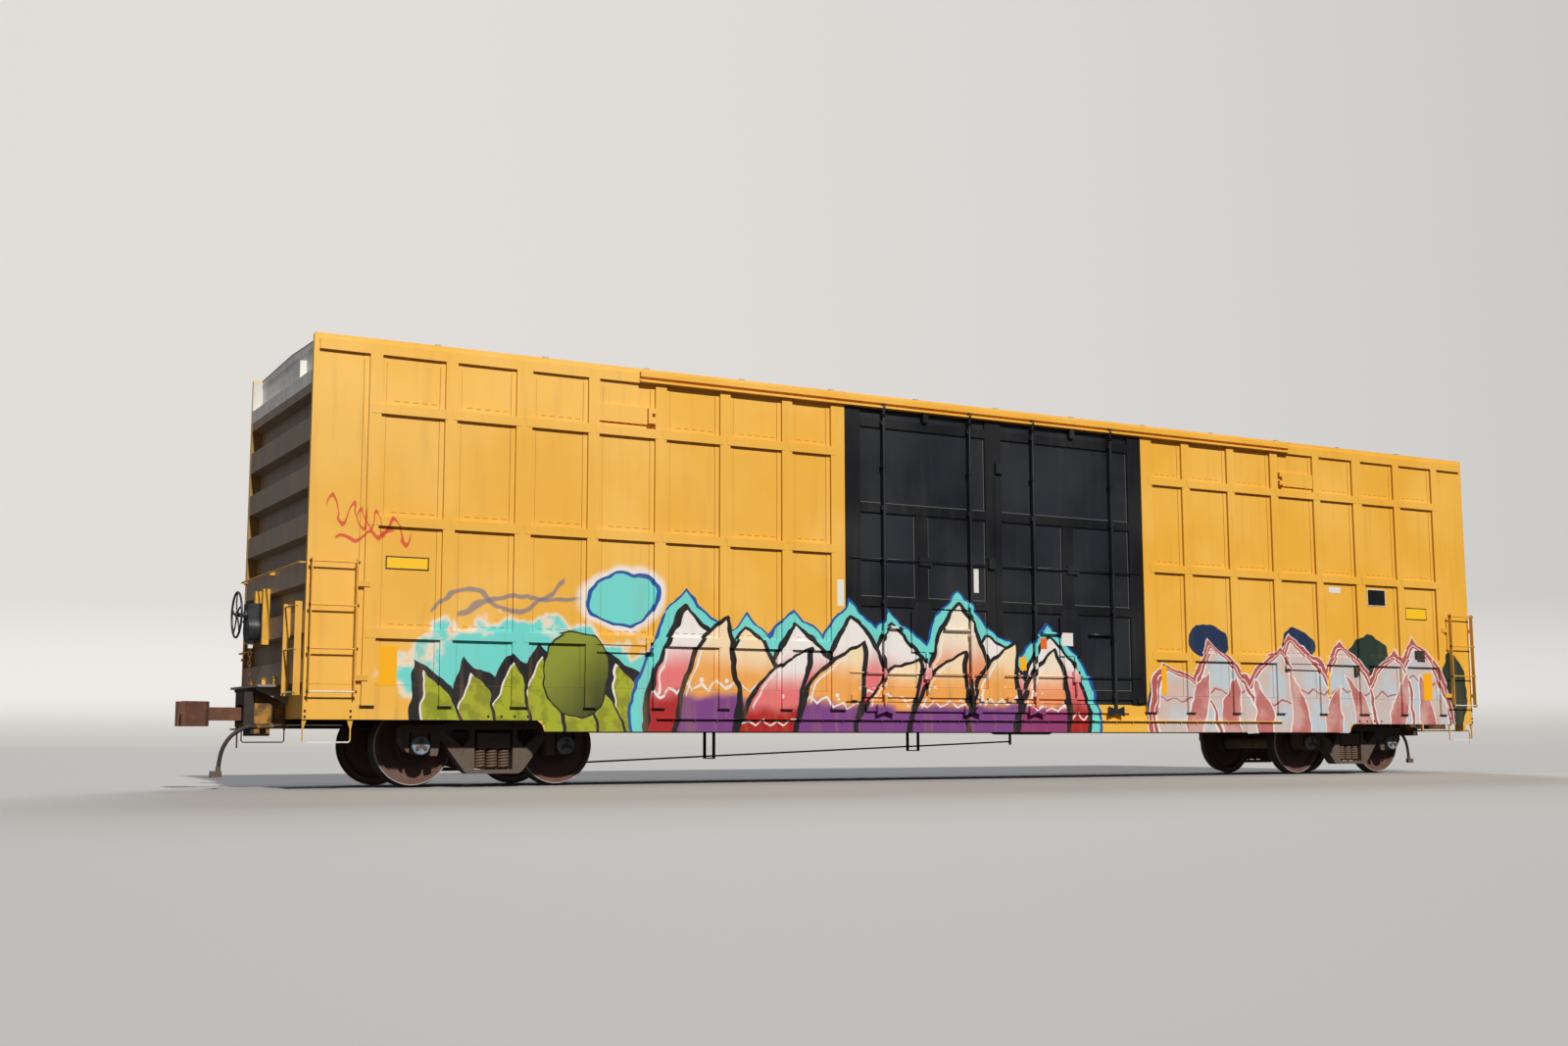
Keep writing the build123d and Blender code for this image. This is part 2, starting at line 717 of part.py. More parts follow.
# Brake platform: a grating on three brackets
PLATFORM_TOP = up(1150)
PLATFORM_THICK = 26
PLATFORM_EDGE = -9632
PLATFORM_Y = (-420, 1000)
with BuildPart() as brake_platform:
    block(-END_BAR_FACE, PLATFORM_EDGE, *PLATFORM_Y, PLATFORM_TOP - PLATFORM_THICK, PLATFORM_TOP)
    centre = ((PLATFORM_EDGE - END_BAR_FACE) / 2, sum(PLATFORM_Y) / 2, PLATFORM_TOP)
    with BuildSketch(Plane(origin=centre)) as openings:
        with GridLocations(45, 40, 5, 34):
            Rectangle(31, 22)
    extrude(openings.sketch, amount=-PLATFORM_THICK, mode=Mode.SUBTRACT)
    for y in (-280, 290, 860):
        prism(
            Plane.XZ.offset(-y - 5),
            [
                (-END_OUTER, PLATFORM_TOP - PLATFORM_THICK),
                (PLATFORM_EDGE + 20, PLATFORM_TOP - PLATFORM_THICK),
                (PLATFORM_EDGE + 20, PLATFORM_TOP - PLATFORM_THICK - 30),
                (-END_OUTER, up(930)),
            ],
            10,
        )
save(brake_platform.part, "brake_platform")

# Strikers: castings round the coupler openings, and a frame under the sill behind each
with BuildPart() as strikers:
    for end in (-1, 1):
        block(end * (STRIKER_X - 90), end * STRIKER_X, -230, 230, up(680), up(1070))
        block(
            end * (STRIKER_X - 90), end * STRIKER_X,
            -SILL_CLEAR, SILL_CLEAR,
            COUPLER_Z - 95, COUPLER_Z + 105,
            mode=Mode.SUBTRACT,
        )
        block(end * 9425, end * (STRIKER_X - 90), -190, 190, up(570), CENTRE_SILL_BOTTOM)
        block(end * 9465, end * 9540, -190, 190, up(570), up(660), mode=Mode.SUBTRACT)
save(strikers.part, "strikers")

# Air brake equipment under the floor, on the left side
RESERVOIR_RADIUS = 210
with BuildPart() as air_reservoir:
    rod((1500, 700, up(800)), (2500, 700, up(800)), RESERVOIR_RADIUS)
    block(1700, 1760, 660, 740, up(800), FLOOR_BOTTOM)
    block(2240, 2300, 660, 740, up(800), FLOOR_BOTTOM)
save(air_reservoir.part, "air_reservoir")

# Brake cylinder, and the rod that slopes down to the truck of the B end through its guides
ROD_GUIDES = ((-3670, 270), (-450, 358))
with BuildPart() as brake_cylinder:
    rod((-2000, 650, up(830)), (-1500, 650, up(830)), 140)
    rod((-2300, 650, up(830)), (-2000, 650, up(830)), 25)
    block(-1780, -1720, 610, 690, up(830), FLOOR_BOTTOM)
    rod((-5600, 0, up(234)), (1250, 0, up(487)), 11)
    block(1235, 1265, -12, 12, up(440), up(694))
    block(1235, 1265, -200, 200, up(694), CENTRE_SILL_BOTTOM)
    for x, bottom in ROD_GUIDES:
        prism(
            Plane.YZ.offset(x - 20),
            both_sides([
                (0, up(bottom)),
                (140, up(bottom)),
                (140, up(694)),
                (200, up(694)),
                (200, CENTRE_SILL_BOTTOM),
                (126, CENTRE_SILL_BOTTOM),
                (126, up(bottom) + 14),
                (0, up(bottom) + 14),
            ]),
            40,
        )
save(brake_cylinder.part, "brake_cylinder")

with BuildPart() as brake_valve:
    block(350, 700, 560, 860, up(760), up(1000))
    block(480, 570, 660, 760, up(1000), FLOOR_BOTTOM)
save(brake_valve.part, "brake_valve")

# Air hose of the A end, from the angle cock down to the coupling at its free end
HOSE_DIAMETER = 46
HOSE_ROUTE = [
    (9737, 330.3, 682.4),
    (9820, 331, 649),
    (9903, 334, 577),
    (9965, 338, 480),
    (10000, 342, 365),
    (10012, 344, 250),
]


def arc_radii(points):
    """Give each corner of a route the radius of the largest arc that its two runs allow."""
    radii = []
    for before, corner, after in zip(points, points[1:], points[2:]):
        first = Vector(*corner) - Vector(*before)
        second = Vector(*after) - Vector(*corner)
        half_turn = math.radians(first.get_angle(second) / 2)
        radii.append(0.45 * min(first.length, second.length) / math.tan(half_turn))
    return radii


with BuildPart() as hose:
    with BuildLine() as hose_line:
        FilletPolyline(*HOSE_ROUTE, radius=arc_radii(HOSE_ROUTE))
    with BuildSketch(Plane(origin=hose_line.line @ 0, z_dir=hose_line.line % 0)) as hose_section:
        Circle(HOSE_DIAMETER / 2)
    sweep(hose_section.sketch, path=hose_line.line)
save(hose.part, "air_hose_a")
save(hose.part.rotate(Axis.Z, 180), "air_hose_b")

# Coupling on the free end of the hose
hose_end = Vector(*HOSE_ROUTE[-1])
hose_way = (hose_end - Vector(*HOSE_ROUTE[-2])).normalized()
with BuildPart() as glad_hand:
    neck_end = hose_end + hose_way * 55
    rod(tuple(hose_end), tuple(neck_end), 28)
    block(neck_end.X - 40, neck_end.X + 85, neck_end.Y - 26, neck_end.Y + 26, neck_end.Z - 60, neck_end.Z + 10)
save(glad_hand.part, "glad_hand_a")
save(glad_hand.part.rotate(Axis.Z, 180), "glad_hand_b")

# Brake pipe along the car, on the right at the B end and on the left at the A end
PIPE_SIDE = 330
PIPE_Z = up(672)
PIPE_RADIUS = 21
COCK_X = 9700
with BuildPart() as angle_cock:
    hose_start = Vector(*HOSE_ROUTE[0])
    hose_out = (Vector(*HOSE_ROUTE[1]) - hose_start).normalized()
    rod(tuple(hose_start - hose_out * 60), tuple(hose_start), 28)
with BuildPart() as brake_pipe:
    bent_rod(
        [
            (-COCK_X, -PIPE_SIDE, PIPE_Z),
            (-3000, -PIPE_SIDE, PIPE_Z),
            (3000, PIPE_SIDE, PIPE_Z),
            (COCK_X, PIPE_SIDE, PIPE_Z),
        ],
        400,
        PIPE_RADIUS,
    )
    add(angle_cock.part)
    add(angle_cock.part.rotate(Axis.Z, 180))
save(brake_pipe.part, "brake_pipe")

# Uncoupling levers, from under the coupler to a handle near the corner
LEVER_Z = up(650)
with BuildPart() as lever:
    bent_rod(
        [
            (9700, -60, LEVER_Z),
            (9700, -600, LEVER_Z),
            (9450, -900, LEVER_Z),
            (9450, -1400, LEVER_Z),
            (9450, -1400, up(430)),
        ],
        60,
        11,
    )
    block(9685, 9715, -262, -230, up(635), up(760))
    block(END_OUTER, 9465, -1310, -1280, up(635), up(800))
with BuildPart() as uncoupling_levers:
    add(lever.part)
    add(lever.part.rotate(Axis.Z, 180))
save(uncoupling_levers.part, "uncoupling_levers")

# Truck side frame: half outline from the middle of the top, clockwise
FRAME_HALF = [
    (240, up(790)),
    (430, up(735)),
    (640, up(705)),
    (1080, up(695)),
    (1120, up(650)),
    (1117, up(504)),
    (1040, up(382)),
    (1014, up(382)),
    (1014, up(602)),
    (764, up(602)),
    (764, up(340)),
    (680, up(340)),
    (648, up(512)),
    (630, up(515)),
    (356, up(160)),
    (310, up(131)),
]
WINDOW_HALF = 235
with BuildPart() as side_frame:
    prism(Plane.XZ.offset(FRAME_INNER), both_sides(FRAME_HALF), FRAME_OUTER - FRAME_INNER)
    block(-WINDOW_HALF, WINDOW_HALF, -FRAME_OUTER, -FRAME_INNER, up(178), up(640), mode=Mode.SUBTRACT)
    for side in (-1, 1):
        prism(
            Plane.XZ.offset(FRAME_INNER),
            [
                (side * 374, up(435)),
                (side * 575, up(600)),
                (side * 560, up(640)),
                (side * 285, up(640)),
                (side * 290, up(530)),
            ],
            FRAME_OUTER - FRAME_INNER,
            mode=Mode.SUBTRACT,
        )
    mirror(about=Plane.XZ)

# Truck bolster, with the centre bowl and side bearings
BOLSTER_X = 200
BOLSTER_TOP = up(615)
with BuildPart() as truck_bolster:
    prism(
        Plane.YZ.offset(-BOLSTER_X),
        both_sides([
            (700, BOLSTER_TOP),
            (1090, up(600)),
            (1090, up(430)),
            (800, up(430)),
            (400, up(330)),
        ]),
        2 * BOLSTER_X,
    )
    with Locations((0, 0, (BOLSTER_TOP + up(660)) / 2)):
        Cylinder(240, up(660) - BOLSTER_TOP)
    with Locations((0, 0, (up(628) + up(660)) / 2)):
        Cylinder(BOWL_RADIUS, up(660) - up(628), mode=Mode.SUBTRACT)
    for side in (-1, 1):
        block(-130, 130, side * SIDE_BEARING_Y - 55, side * SIDE_BEARING_Y + 55, BOLSTER_TOP, up(660))

# Springs between the side frames and the bolster ends
SPRING_RADIUS = 66
with BuildPart() as springs:
    for side in (-1, 1):
        for x in (-148, 0, 148):
            with Locations((x, side * JOURNAL_Y, (up(178) + up(430)) / 2)):
                Cylinder(SPRING_RADIUS, up(430) - up(178))

# Bearings with their adapters, in the pedestal jaws
with BuildPart() as bearings:
    for x in (-WHEELBASE / 2, WHEELBASE / 2):
        for side in (-1, 1):
            y0 = side * (JOURNAL_Y - BEARING_WIDTH / 2)
            y1 = side * (JOURNAL_Y + BEARING_WIDTH / 2)
            rod((x, y0, AXLE_Z), (x, y1, AXLE_Z), BEARING_RADIUS)
            block(x - 100, x + 100, side * 930, side * 1080, AXLE_Z + 40, up(602))
            rod((x, y0, AXLE_Z), (x, y1, AXLE_Z), JOURNAL_RADIUS + JOURNAL_CLEARANCE, mode=Mode.SUBTRACT)

# Brake beams with heads that stand just off the wheel treads
SHOE_GAP = 8
with BuildPart() as brake_beams:
    for end in (-1, 1):
        block(end * 300, end * 350, -760, 760, up(360), up(440))
        for side in (-1, 1):
            with BuildSketch(Plane.XZ.offset(-side * 765 - 40)):
                Polygon(
                    (end * 300, up(300)), (end * 300, up(520)), (end * 480, up(560)), (end * 480, up(260)), align=None,
                )
                with Locations((end * WHEELBASE / 2, AXLE_Z)):
                    Circle(TREAD_RADIUS + SHOE_GAP, mode=Mode.SUBTRACT)
            extrude(amount=80)

for letter, x in (("b", -TRUCK_X), ("a", TRUCK_X)):
    place = Location((x, 0, 0))
    save(side_frame.part.moved(place), f"side_frames_{letter}")
    save(truck_bolster.part.moved(place), f"truck_bolster_{letter}")
    save(springs.part.moved(place), f"springs_{letter}")
    save(bearings.part.moved(place), f"bearings_{letter}")
    save(brake_beams.part.moved(place), f"brake_beams_{letter}")

# Wheelset: half section of the right wheel as (distance from the middle, radius)
WHEEL_SEAT = 103
with BuildPart() as wheels:
    with BuildSketch(Plane.YZ):
        Polygon(
            (RIM_INNER, TREAD_RADIUS + FLANGE_HEIGHT),
            (RIM_INNER + 18, TREAD_RADIUS + FLANGE_HEIGHT),
            (RIM_INNER + 38, TREAD_RADIUS),
            (RIM_OUTER, TREAD_RADIUS - 5),
            (RIM_OUTER, 400),
            (775, 390),
            (760, 200),
            (800, 160),
            (800, WHEEL_SEAT),
            (640, WHEEL_SEAT),
            (640, 160),
            (720, 200),
            (735, 390),
            (RIM_INNER, 400),
            align=None,
        )
    revolve(axis=Axis.Y)
    mirror(about=Plane.XZ)

with BuildPart() as axle:
    with BuildSketch(Plane.YZ):
        Polygon(
            (0, 0),
            (0, 85),
            (560, 90),
            (620, WHEEL_SEAT),
            (830, WHEEL_SEAT),
            (900, JOURNAL_RADIUS),
            (JOURNAL_Y + BEARING_WIDTH / 2 + 4, JOURNAL_RADIUS),
            (JOURNAL_Y + BEARING_WIDTH / 2 + 4, CAP_RADIUS),
            (CAP_OUTER - 8, CAP_RADIUS),
            (CAP_OUTER, CAP_RADIUS - 12),
            (CAP_OUTER, 0),
            align=None,
        )
    revolve(axis=Axis.Y)
    mirror(about=Plane.XZ)

axle_places = [end * TRUCK_X + half * WHEELBASE / 2 for end in (-1, 1) for half in (-1, 1)]
for number, x in enumerate(axle_places, start=1):
    place = Location((x, 0, AXLE_Z))
    save(axle.part.moved(place), f"axle_{number}")
    save(wheels.part.moved(place), f"wheels_{number}")

# Coupler of the A end, drawn in plan as distances beyond the pulling face and to the left
HEAD_HALF_HEIGHT = 140
with BuildPart() as coupler:
    block(PULLING_FACE_X - COUPLER_PIVOT - 60, PULLING_FACE_X - 250, -65, 65, COUPLER_Z - 75, COUPLER_Z + 75)
    prism(
        Plane(origin=(PULLING_FACE_X, 0, COUPLER_Z - HEAD_HALF_HEIGHT)),
        [
            (-270, -65),
            (-215, -150),
            (-120, -185),
            (-60, -185),
            (-60, -60),
            (-110, -20),
            (-110, 60),
            (-40, 120),
            (40, 185),
            (60, 215),
            (20, 225),
            (-120, 160),
            (-220, 130),
            (-270, 65),
        ],
        2 * HEAD_HALF_HEIGHT,
    )
with BuildPart() as knuckle:
    prism(
        Plane(origin=(PULLING_FACE_X, 0, COUPLER_Z - HEAD_HALF_HEIGHT)),
        [
            (-60, -185),
            (10, -175),
            (65, -120),
            (75, -60),
            (60, -15),
            (20, 0),
            (0, -30),
            (0, -80),
            (-30, -110),
            (-60, -100),
        ],
        2 * HEAD_HALF_HEIGHT,
    )
save(coupler.part, "coupler_a")
save(coupler.part.rotate(Axis.Z, 180), "coupler_b")
save(knuckle.part, "knuckle_a")
save(knuckle.part.rotate(Axis.Z, 180), "knuckle_b")
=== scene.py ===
"""Looks of the sixty-foot railroad boxcar, in metres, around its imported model.

+X runs towards the A end, +Z is up, and the side that the photograph shows is -Y.
Heights are given above the rail top, which is RAIL above the floor.
"""

import math

import bmesh
import bpy
from mathutils import Matrix, Vector


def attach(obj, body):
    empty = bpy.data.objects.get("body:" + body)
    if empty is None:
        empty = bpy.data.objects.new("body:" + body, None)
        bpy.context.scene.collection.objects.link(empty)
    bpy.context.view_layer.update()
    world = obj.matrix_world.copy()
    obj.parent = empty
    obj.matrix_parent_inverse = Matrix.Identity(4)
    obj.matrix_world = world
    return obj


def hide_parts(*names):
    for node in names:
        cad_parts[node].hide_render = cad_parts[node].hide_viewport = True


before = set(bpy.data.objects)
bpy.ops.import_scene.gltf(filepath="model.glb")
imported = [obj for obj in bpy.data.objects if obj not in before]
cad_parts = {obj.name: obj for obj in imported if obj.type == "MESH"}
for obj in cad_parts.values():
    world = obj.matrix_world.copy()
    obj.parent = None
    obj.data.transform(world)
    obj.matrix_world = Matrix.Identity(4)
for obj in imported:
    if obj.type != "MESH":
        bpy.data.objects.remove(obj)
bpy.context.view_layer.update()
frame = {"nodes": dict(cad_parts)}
nodes = frame["nodes"]

# The wheel flanges reach this far below the rail top
RAIL = 0.0254

# Camera: the place and aim that the photograph was taken from
FOCAL_LENGTH = 39.641
SENSOR_WIDTH = 36
CAMERA_PLACE = (-14.119, -20.458, 0.5068 + RAIL)
CAMERA_YAW = 29.532
CAMERA_PITCH = 7.180
CAMERA_ROLL = -0.105

# Body: faces and edges that the detail pieces are set on
SHEET_FACE = 1.520
POST_FACE = 1.560
END_FACE = 9.385
DOOR_FACE = 1.548
POSTS = (
    (8.763, 8.621),
    (7.877, 7.736),
    (7.015, 6.818),
    (6.102, 5.961),
    (5.217, 5.066),
    (4.325, 4.181),
    (3.437, 3.289),
    (2.711, 2.507),
)
POST_BOTTOM = 0.900
RIB_TOPS = (1.753, 3.012, 4.285)
SEAM_REACH = 0.057
STITCH = 0.11
SHEET_BOTTOM = 1.130
SHEET_TOP = 4.78
DOOR_HALF = 2.507
THRESHOLD_TOP = 0.995
SILL_BOTTOM = 0.616
SILL_BOTTOM_END = 0.744
SILL_STEP = 6.59
LOCK_PIPES = (-1.918, -0.535, 0.535, 1.918)
DOOR_BAYS = ((-2.261, -1.40), (-1.20, -0.253), (0.013, 1.06), (1.26, 2.261))
LADDER_RUNGS = (1.044, 1.513, 1.989, 2.468)
LADDER_LINE = 1.614

# Edges of painted areas
SPRAY_LIMIT = -1.44
POST_SHADE_END = 9.2
PANEL_EDGE = 1.530
CORNER_POST_X = 9.252
CORNER_POST_Y = 1.4715
CORNER_WHITE = 4.64
END_WHITE = 4.475
DRAFT_SILL_END = 9.600
SIDE_RUNG = (8.868, 9.350)
END_RUNG = (0.833, 1.332)
STEP_TREAD = 0.512

# Running gear
TRUCK_X = 7.0485
WHEELBASE = 1.778
AXLE_Z = 0.4826
TREAD_RADIUS = 0.4572
JOURNAL_Y = 1.003
CAP_FACE = 1.147

# Air hose of the A end, from the angle cock to its coupling
HOSE_DIAMETER = 0.046
HOSE_ROUTE = (
    (9.7370, 0.3303, 0.6824),
    (9.820, 0.331, 0.649),
    (9.903, 0.334, 0.577),
    (9.965, 0.338, 0.480),
    (10.000, 0.342, 0.365),
    (10.012, 0.344, 0.250),
)


def up(height):
    """Turn a height above the rail top into z."""
    return height + RAIL


def make_camera():
    """Put the camera where the photograph was taken from."""
    data = bpy.data.cameras.new("photo_camera")
    data.lens = FOCAL_LENGTH
    data.sensor_width = SENSOR_WIDTH
    data.clip_start = 0.1
    data.clip_end = 500
    camera = bpy.data.objects.new("photo_camera", data)
    bpy.context.scene.collection.objects.link(camera)
    aim = Matrix.Rotation(math.radians(-CAMERA_YAW), 4, "Z")
    tilt = Matrix.Rotation(math.radians(90 + CAMERA_PITCH), 4, "X")
    roll = Matrix.Rotation(math.radians(CAMERA_ROLL), 4, "Z")
    camera.matrix_world = Matrix.Translation(CAMERA_PLACE) @ aim @ tilt @ roll
    bpy.context.scene.camera = camera


def make_hose(end, letter):
    """Make one air hose. The B end's is the A end's, turned half way round."""
    curve = bpy.data.curves.new(f"hose_{letter}", "CURVE")
    curve.dimensions = "3D"
    curve.bevel_depth = 1.0
    curve.bevel_resolution = 5
    curve.resolution_u = 16
    curve.use_fill_caps = True
    spline = curve.splines.new("NURBS")
    spline.points.add(len(HOSE_ROUTE) - 1)
    for point, (x, y, z) in zip(spline.points, HOSE_ROUTE):
        point.co = (end * x, end * y, z, 1)
        point.radius = HOSE_DIAMETER / 2
    spline.order_u = 3
    spline.use_endpoint_u = True
    hose = bpy.data.objects.new(f"rubber_hose_{letter}", curve)
    bpy.context.scene.collection.objects.link(hose)
    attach(hose, "car_body")
    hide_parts(f"air_hose_{letter}")
    x, y, z = HOSE_ROUTE[0]
    return hose


make_camera()
hoses = [make_hose(1, "a"), make_hose(-1, "b")]


class Shading:
    """A material's node tree, with short calls for the nodes that this scene uses."""

    def __init__(self, name, colour, roughness=0.6):
        self.material = bpy.data.materials.new(name)
        self.material.use_nodes = True
        self.tree = self.material.node_tree
        self.shader = self.tree.nodes["Principled BSDF"]
        self.shader.inputs["Base Color"].default_value = (*colour, 1)
        self.shader.inputs["Roughness"].default_value = roughness
        self.place = self.add("ShaderNodeTexCoord").outputs["Object"]

    def add(self, kind, inputs=None, **settings):
        """Add a node, set its options, and give each input a value or another node's output."""
        made = self.tree.nodes.new(kind)
        for name, value in settings.items():
            setattr(made, name, value)
        for name, value in (inputs or {}).items():
            self.feed(made.inputs[name], value)
        return made

    def feed(self, socket, value):
        if isinstance(value, bpy.types.NodeSocket):
            self.tree.links.new(value, socket)
        elif socket.type == "RGBA" and len(value) == 3:
            socket.default_value = (*value, 1)
        else:
            socket.default_value = value

    def calc(self, operation, *values):
        """Work out one number, such as ADD, MULTIPLY or LESS_THAN."""
        inputs = dict(enumerate(values))
        return self.add("ShaderNodeMath", inputs, operation=operation).outputs[0]

    def scaled(self, factors, offset=(0, 0, 0)):
        """Object coordinates, stretched along each axis and then moved."""
        mapping = {"Vector": self.place, "Scale": factors, "Location": offset}
        return self.add("ShaderNodeMapping", mapping).outputs[0]

    def noise(self, scale, detail=3.0, stretch=(1, 1, 1), offset=(0, 0, 0), rough=0.5):
        """Fractal noise between about 0.25 and 0.75."""
        place = self.scaled(stretch, offset)
        inputs = {"Vector": place, "Scale": scale, "Detail": detail, "Roughness": rough}
        return self.add("ShaderNodeTexNoise", inputs).outputs[0]

    def span(self, value, low, high, start=0.0, end=1.0):
        """Map low..high to start..end, held at both ends and smooth between them."""
        inputs = {0: value, 1: low, 2: high, 3: start, 4: end}
        return self.add("ShaderNodeMapRange", inputs, interpolation_type="SMOOTHSTEP").outputs[0]

    def inside(self, value, low, high, soft=0.002):
        """1 between low and high, 0 beyond them, with soft edges."""
        rise = self.span(value, low - soft, low + soft)
        fall = self.span(value, high - soft, high + soft, 1.0, 0.0)
        return self.calc("MULTIPLY", rise, fall)

    def product(self, first, *others):
        """Multiply several numbers."""
        for value in others:
            first = self.calc("MULTIPLY", first, value)
        return first

    def mix(self, factor, first, second, blend="MIX"):
        """Mix two colours."""
        inputs = {0: factor, 6: first, 7: second}
        return self.add("ShaderNodeMix", inputs, data_type="RGBA", blend_type=blend).outputs[2]

    def axes(self):
        """The three object coordinates as numbers."""
        return self.add("ShaderNodeSeparateXYZ", {0: self.place}).outputs

    def chance(self, number, seed):
        """A random number from 0 to 1 that stays the same for each whole number."""
        inputs = {"W": self.calc("ADD", number, seed)}
        return self.add("ShaderNodeTexWhiteNoise", inputs, noise_dimensions="1D").outputs[0]

    def finish(self, colour=None, roughness=None, height=None, depth=0.001):
        """Join the results to the shader. Height, times depth in metres, is the bump."""
        if colour is not None:
            self.feed(self.shader.inputs["Base Color"], colour)
        if roughness is not None:
            self.feed(self.shader.inputs["Roughness"], roughness)
        if height is not None:
            bump = self.add("ShaderNodeBump", {"Height": height, "Distance": depth})
            self.feed(self.shader.inputs["Normal"], bump.outputs[0])
        return self.material


# Colours of the sprayed pattern
WHITE = (0.82, 0.79, 0.77)
INK = (0.012, 0.012, 0.014)
RED = (0.40, 0.014, 0.016)
PINK = (0.78, 0.18, 0.19)
PURPLE = (0.20, 0.055, 0.24)
ORANGE = (0.84, 0.38, 0.09)
CREAM = (0.88, 0.70, 0.46)
TURQUOISE = (0.16, 0.66, 0.62)
BLUE = (0.012, 0.085, 0.36)
LIME = (0.36, 0.40, 0.02)
PALE = (0.60, 0.50, 0.48)
PALE_BLUE = (0.50, 0.59, 0.66)
DULL_RED = (0.44, 0.10, 0.09)
NAVY = (0.012, 0.03, 0.085)
BOTTLE_GREEN = (0.018, 0.04, 0.03)
TAG_RED = (0.62, 0.04, 0.03)
TAG_GREY = (0.17, 0.17, 0.24)
WALL_FOOT = up(0.60)


def leaves(s, x, z, start, count, pitch, width, height, bends, seed):
    """Lay out a row of pointed, curved leaves that stand on the lower edge of the side.

    It gives the three leaves that can reach a place, from back to front, each as the depth
    inside its edge in metres, the share of its height, the offset from its midline and a
    random number of its own.
    """
    rise = s.calc("SUBTRACT", z, WALL_FOOT)
    first = s.calc("FLOOR", s.calc("DIVIDE", s.calc("SUBTRACT", x, start), pitch))
    found = []
    for step in (1.0, 0.0, -1.0):
        number = s.calc("ADD", first, step)
        random = s.chance(number, seed)
        tall = s.calc("MULTIPLY_ADD", s.chance(number, seed + 40), 0.42 * height, 0.74 * height)
        share = s.calc("DIVIDE", rise, tall)
        lean = s.calc("MULTIPLY_ADD", s.chance(number, seed + 80), bends[1] - bends[0], bends[0])
        foot = s.calc("MULTIPLY_ADD", number, pitch, start + pitch / 2)
        middle = s.calc("MULTIPLY_ADD", s.calc("MULTIPLY", share, share), lean, foot)
        offset = s.calc("SUBTRACT", x, middle)
        left = s.calc("MAXIMUM", s.calc("SUBTRACT", 1.0, share), 0.0)
        swell = s.calc("MULTIPLY_ADD", share, 0.95, 1.0)
        half = s.product(s.calc("POWER", left, 0.8), swell, width)
        beyond = s.product(s.calc("MAXIMUM", s.calc("SUBTRACT", share, 1.0), 0.0), tall)
        depth = s.calc("SUBTRACT", s.calc("SUBTRACT", half, s.calc("ABSOLUTE", offset)), beyond)
        absent = s.calc("SUBTRACT", 1.0, s.inside(number, -0.5, count - 0.5, 0.1))
        found.append((s.calc("MULTIPLY_ADD", absent, -9.0, depth), share, offset, random))
    return found


def reach_of(s, found):
    """The greatest depth of all the leaves at a place, which is negative outside them."""
    first, second, third = [leaf[0] for leaf in found]
    return s.calc("MAXIMUM", s.calc("MAXIMUM", first, second), third)


def zigzag(s, share, offset, random, level, size, count):
    """A zigzag line across a leaf, at its own share of its height: 1 on the line."""
    wave = s.calc("PINGPONG", s.calc("MULTIPLY", offset, count), 1.0)
    line = s.calc("ADD", s.calc("MULTIPLY_ADD", wave, size, level), s.calc("MULTIPLY", random, 0.3))
    return s.span(s.calc("ABSOLUTE", s.calc("SUBTRACT", share, line)), 0.008, 0.014, 1.0, 0.0)


def blob(s, x, z, centre_x, centre_h, reach_x, reach_h):
    """1 in the middle of an upright ellipse, 0 on its edge and negative outside."""
    across = s.calc("POWER", s.calc("DIVIDE", s.calc("SUBTRACT", x, centre_x), reach_x), 2.0)
    rise = s.calc("POWER", s.calc("DIVIDE", s.calc("SUBTRACT", z, up(centre_h)), reach_h), 2.0)
    return s.calc("SUBTRACT", 1.0, s.calc("ADD", across, rise))


def stroke(s, x, z, left, right, height, slope, wave, turns):
    """A wavy sprayed line from left to right: 1 on the line."""
    along = s.calc("SUBTRACT", x, left)
    swing = s.calc("MULTIPLY", s.calc("SINE", s.calc("MULTIPLY", along, turns)), wave)
    line = s.calc("MULTIPLY_ADD", along, slope, s.calc("ADD", swing, up(height)))
    near = s.span(s.calc("ABSOLUTE", s.calc("SUBTRACT", z, line)), 0.018, 0.04, 1.0, 0.0)
    return s.product(near, s.inside(x, left, right, 0.02))


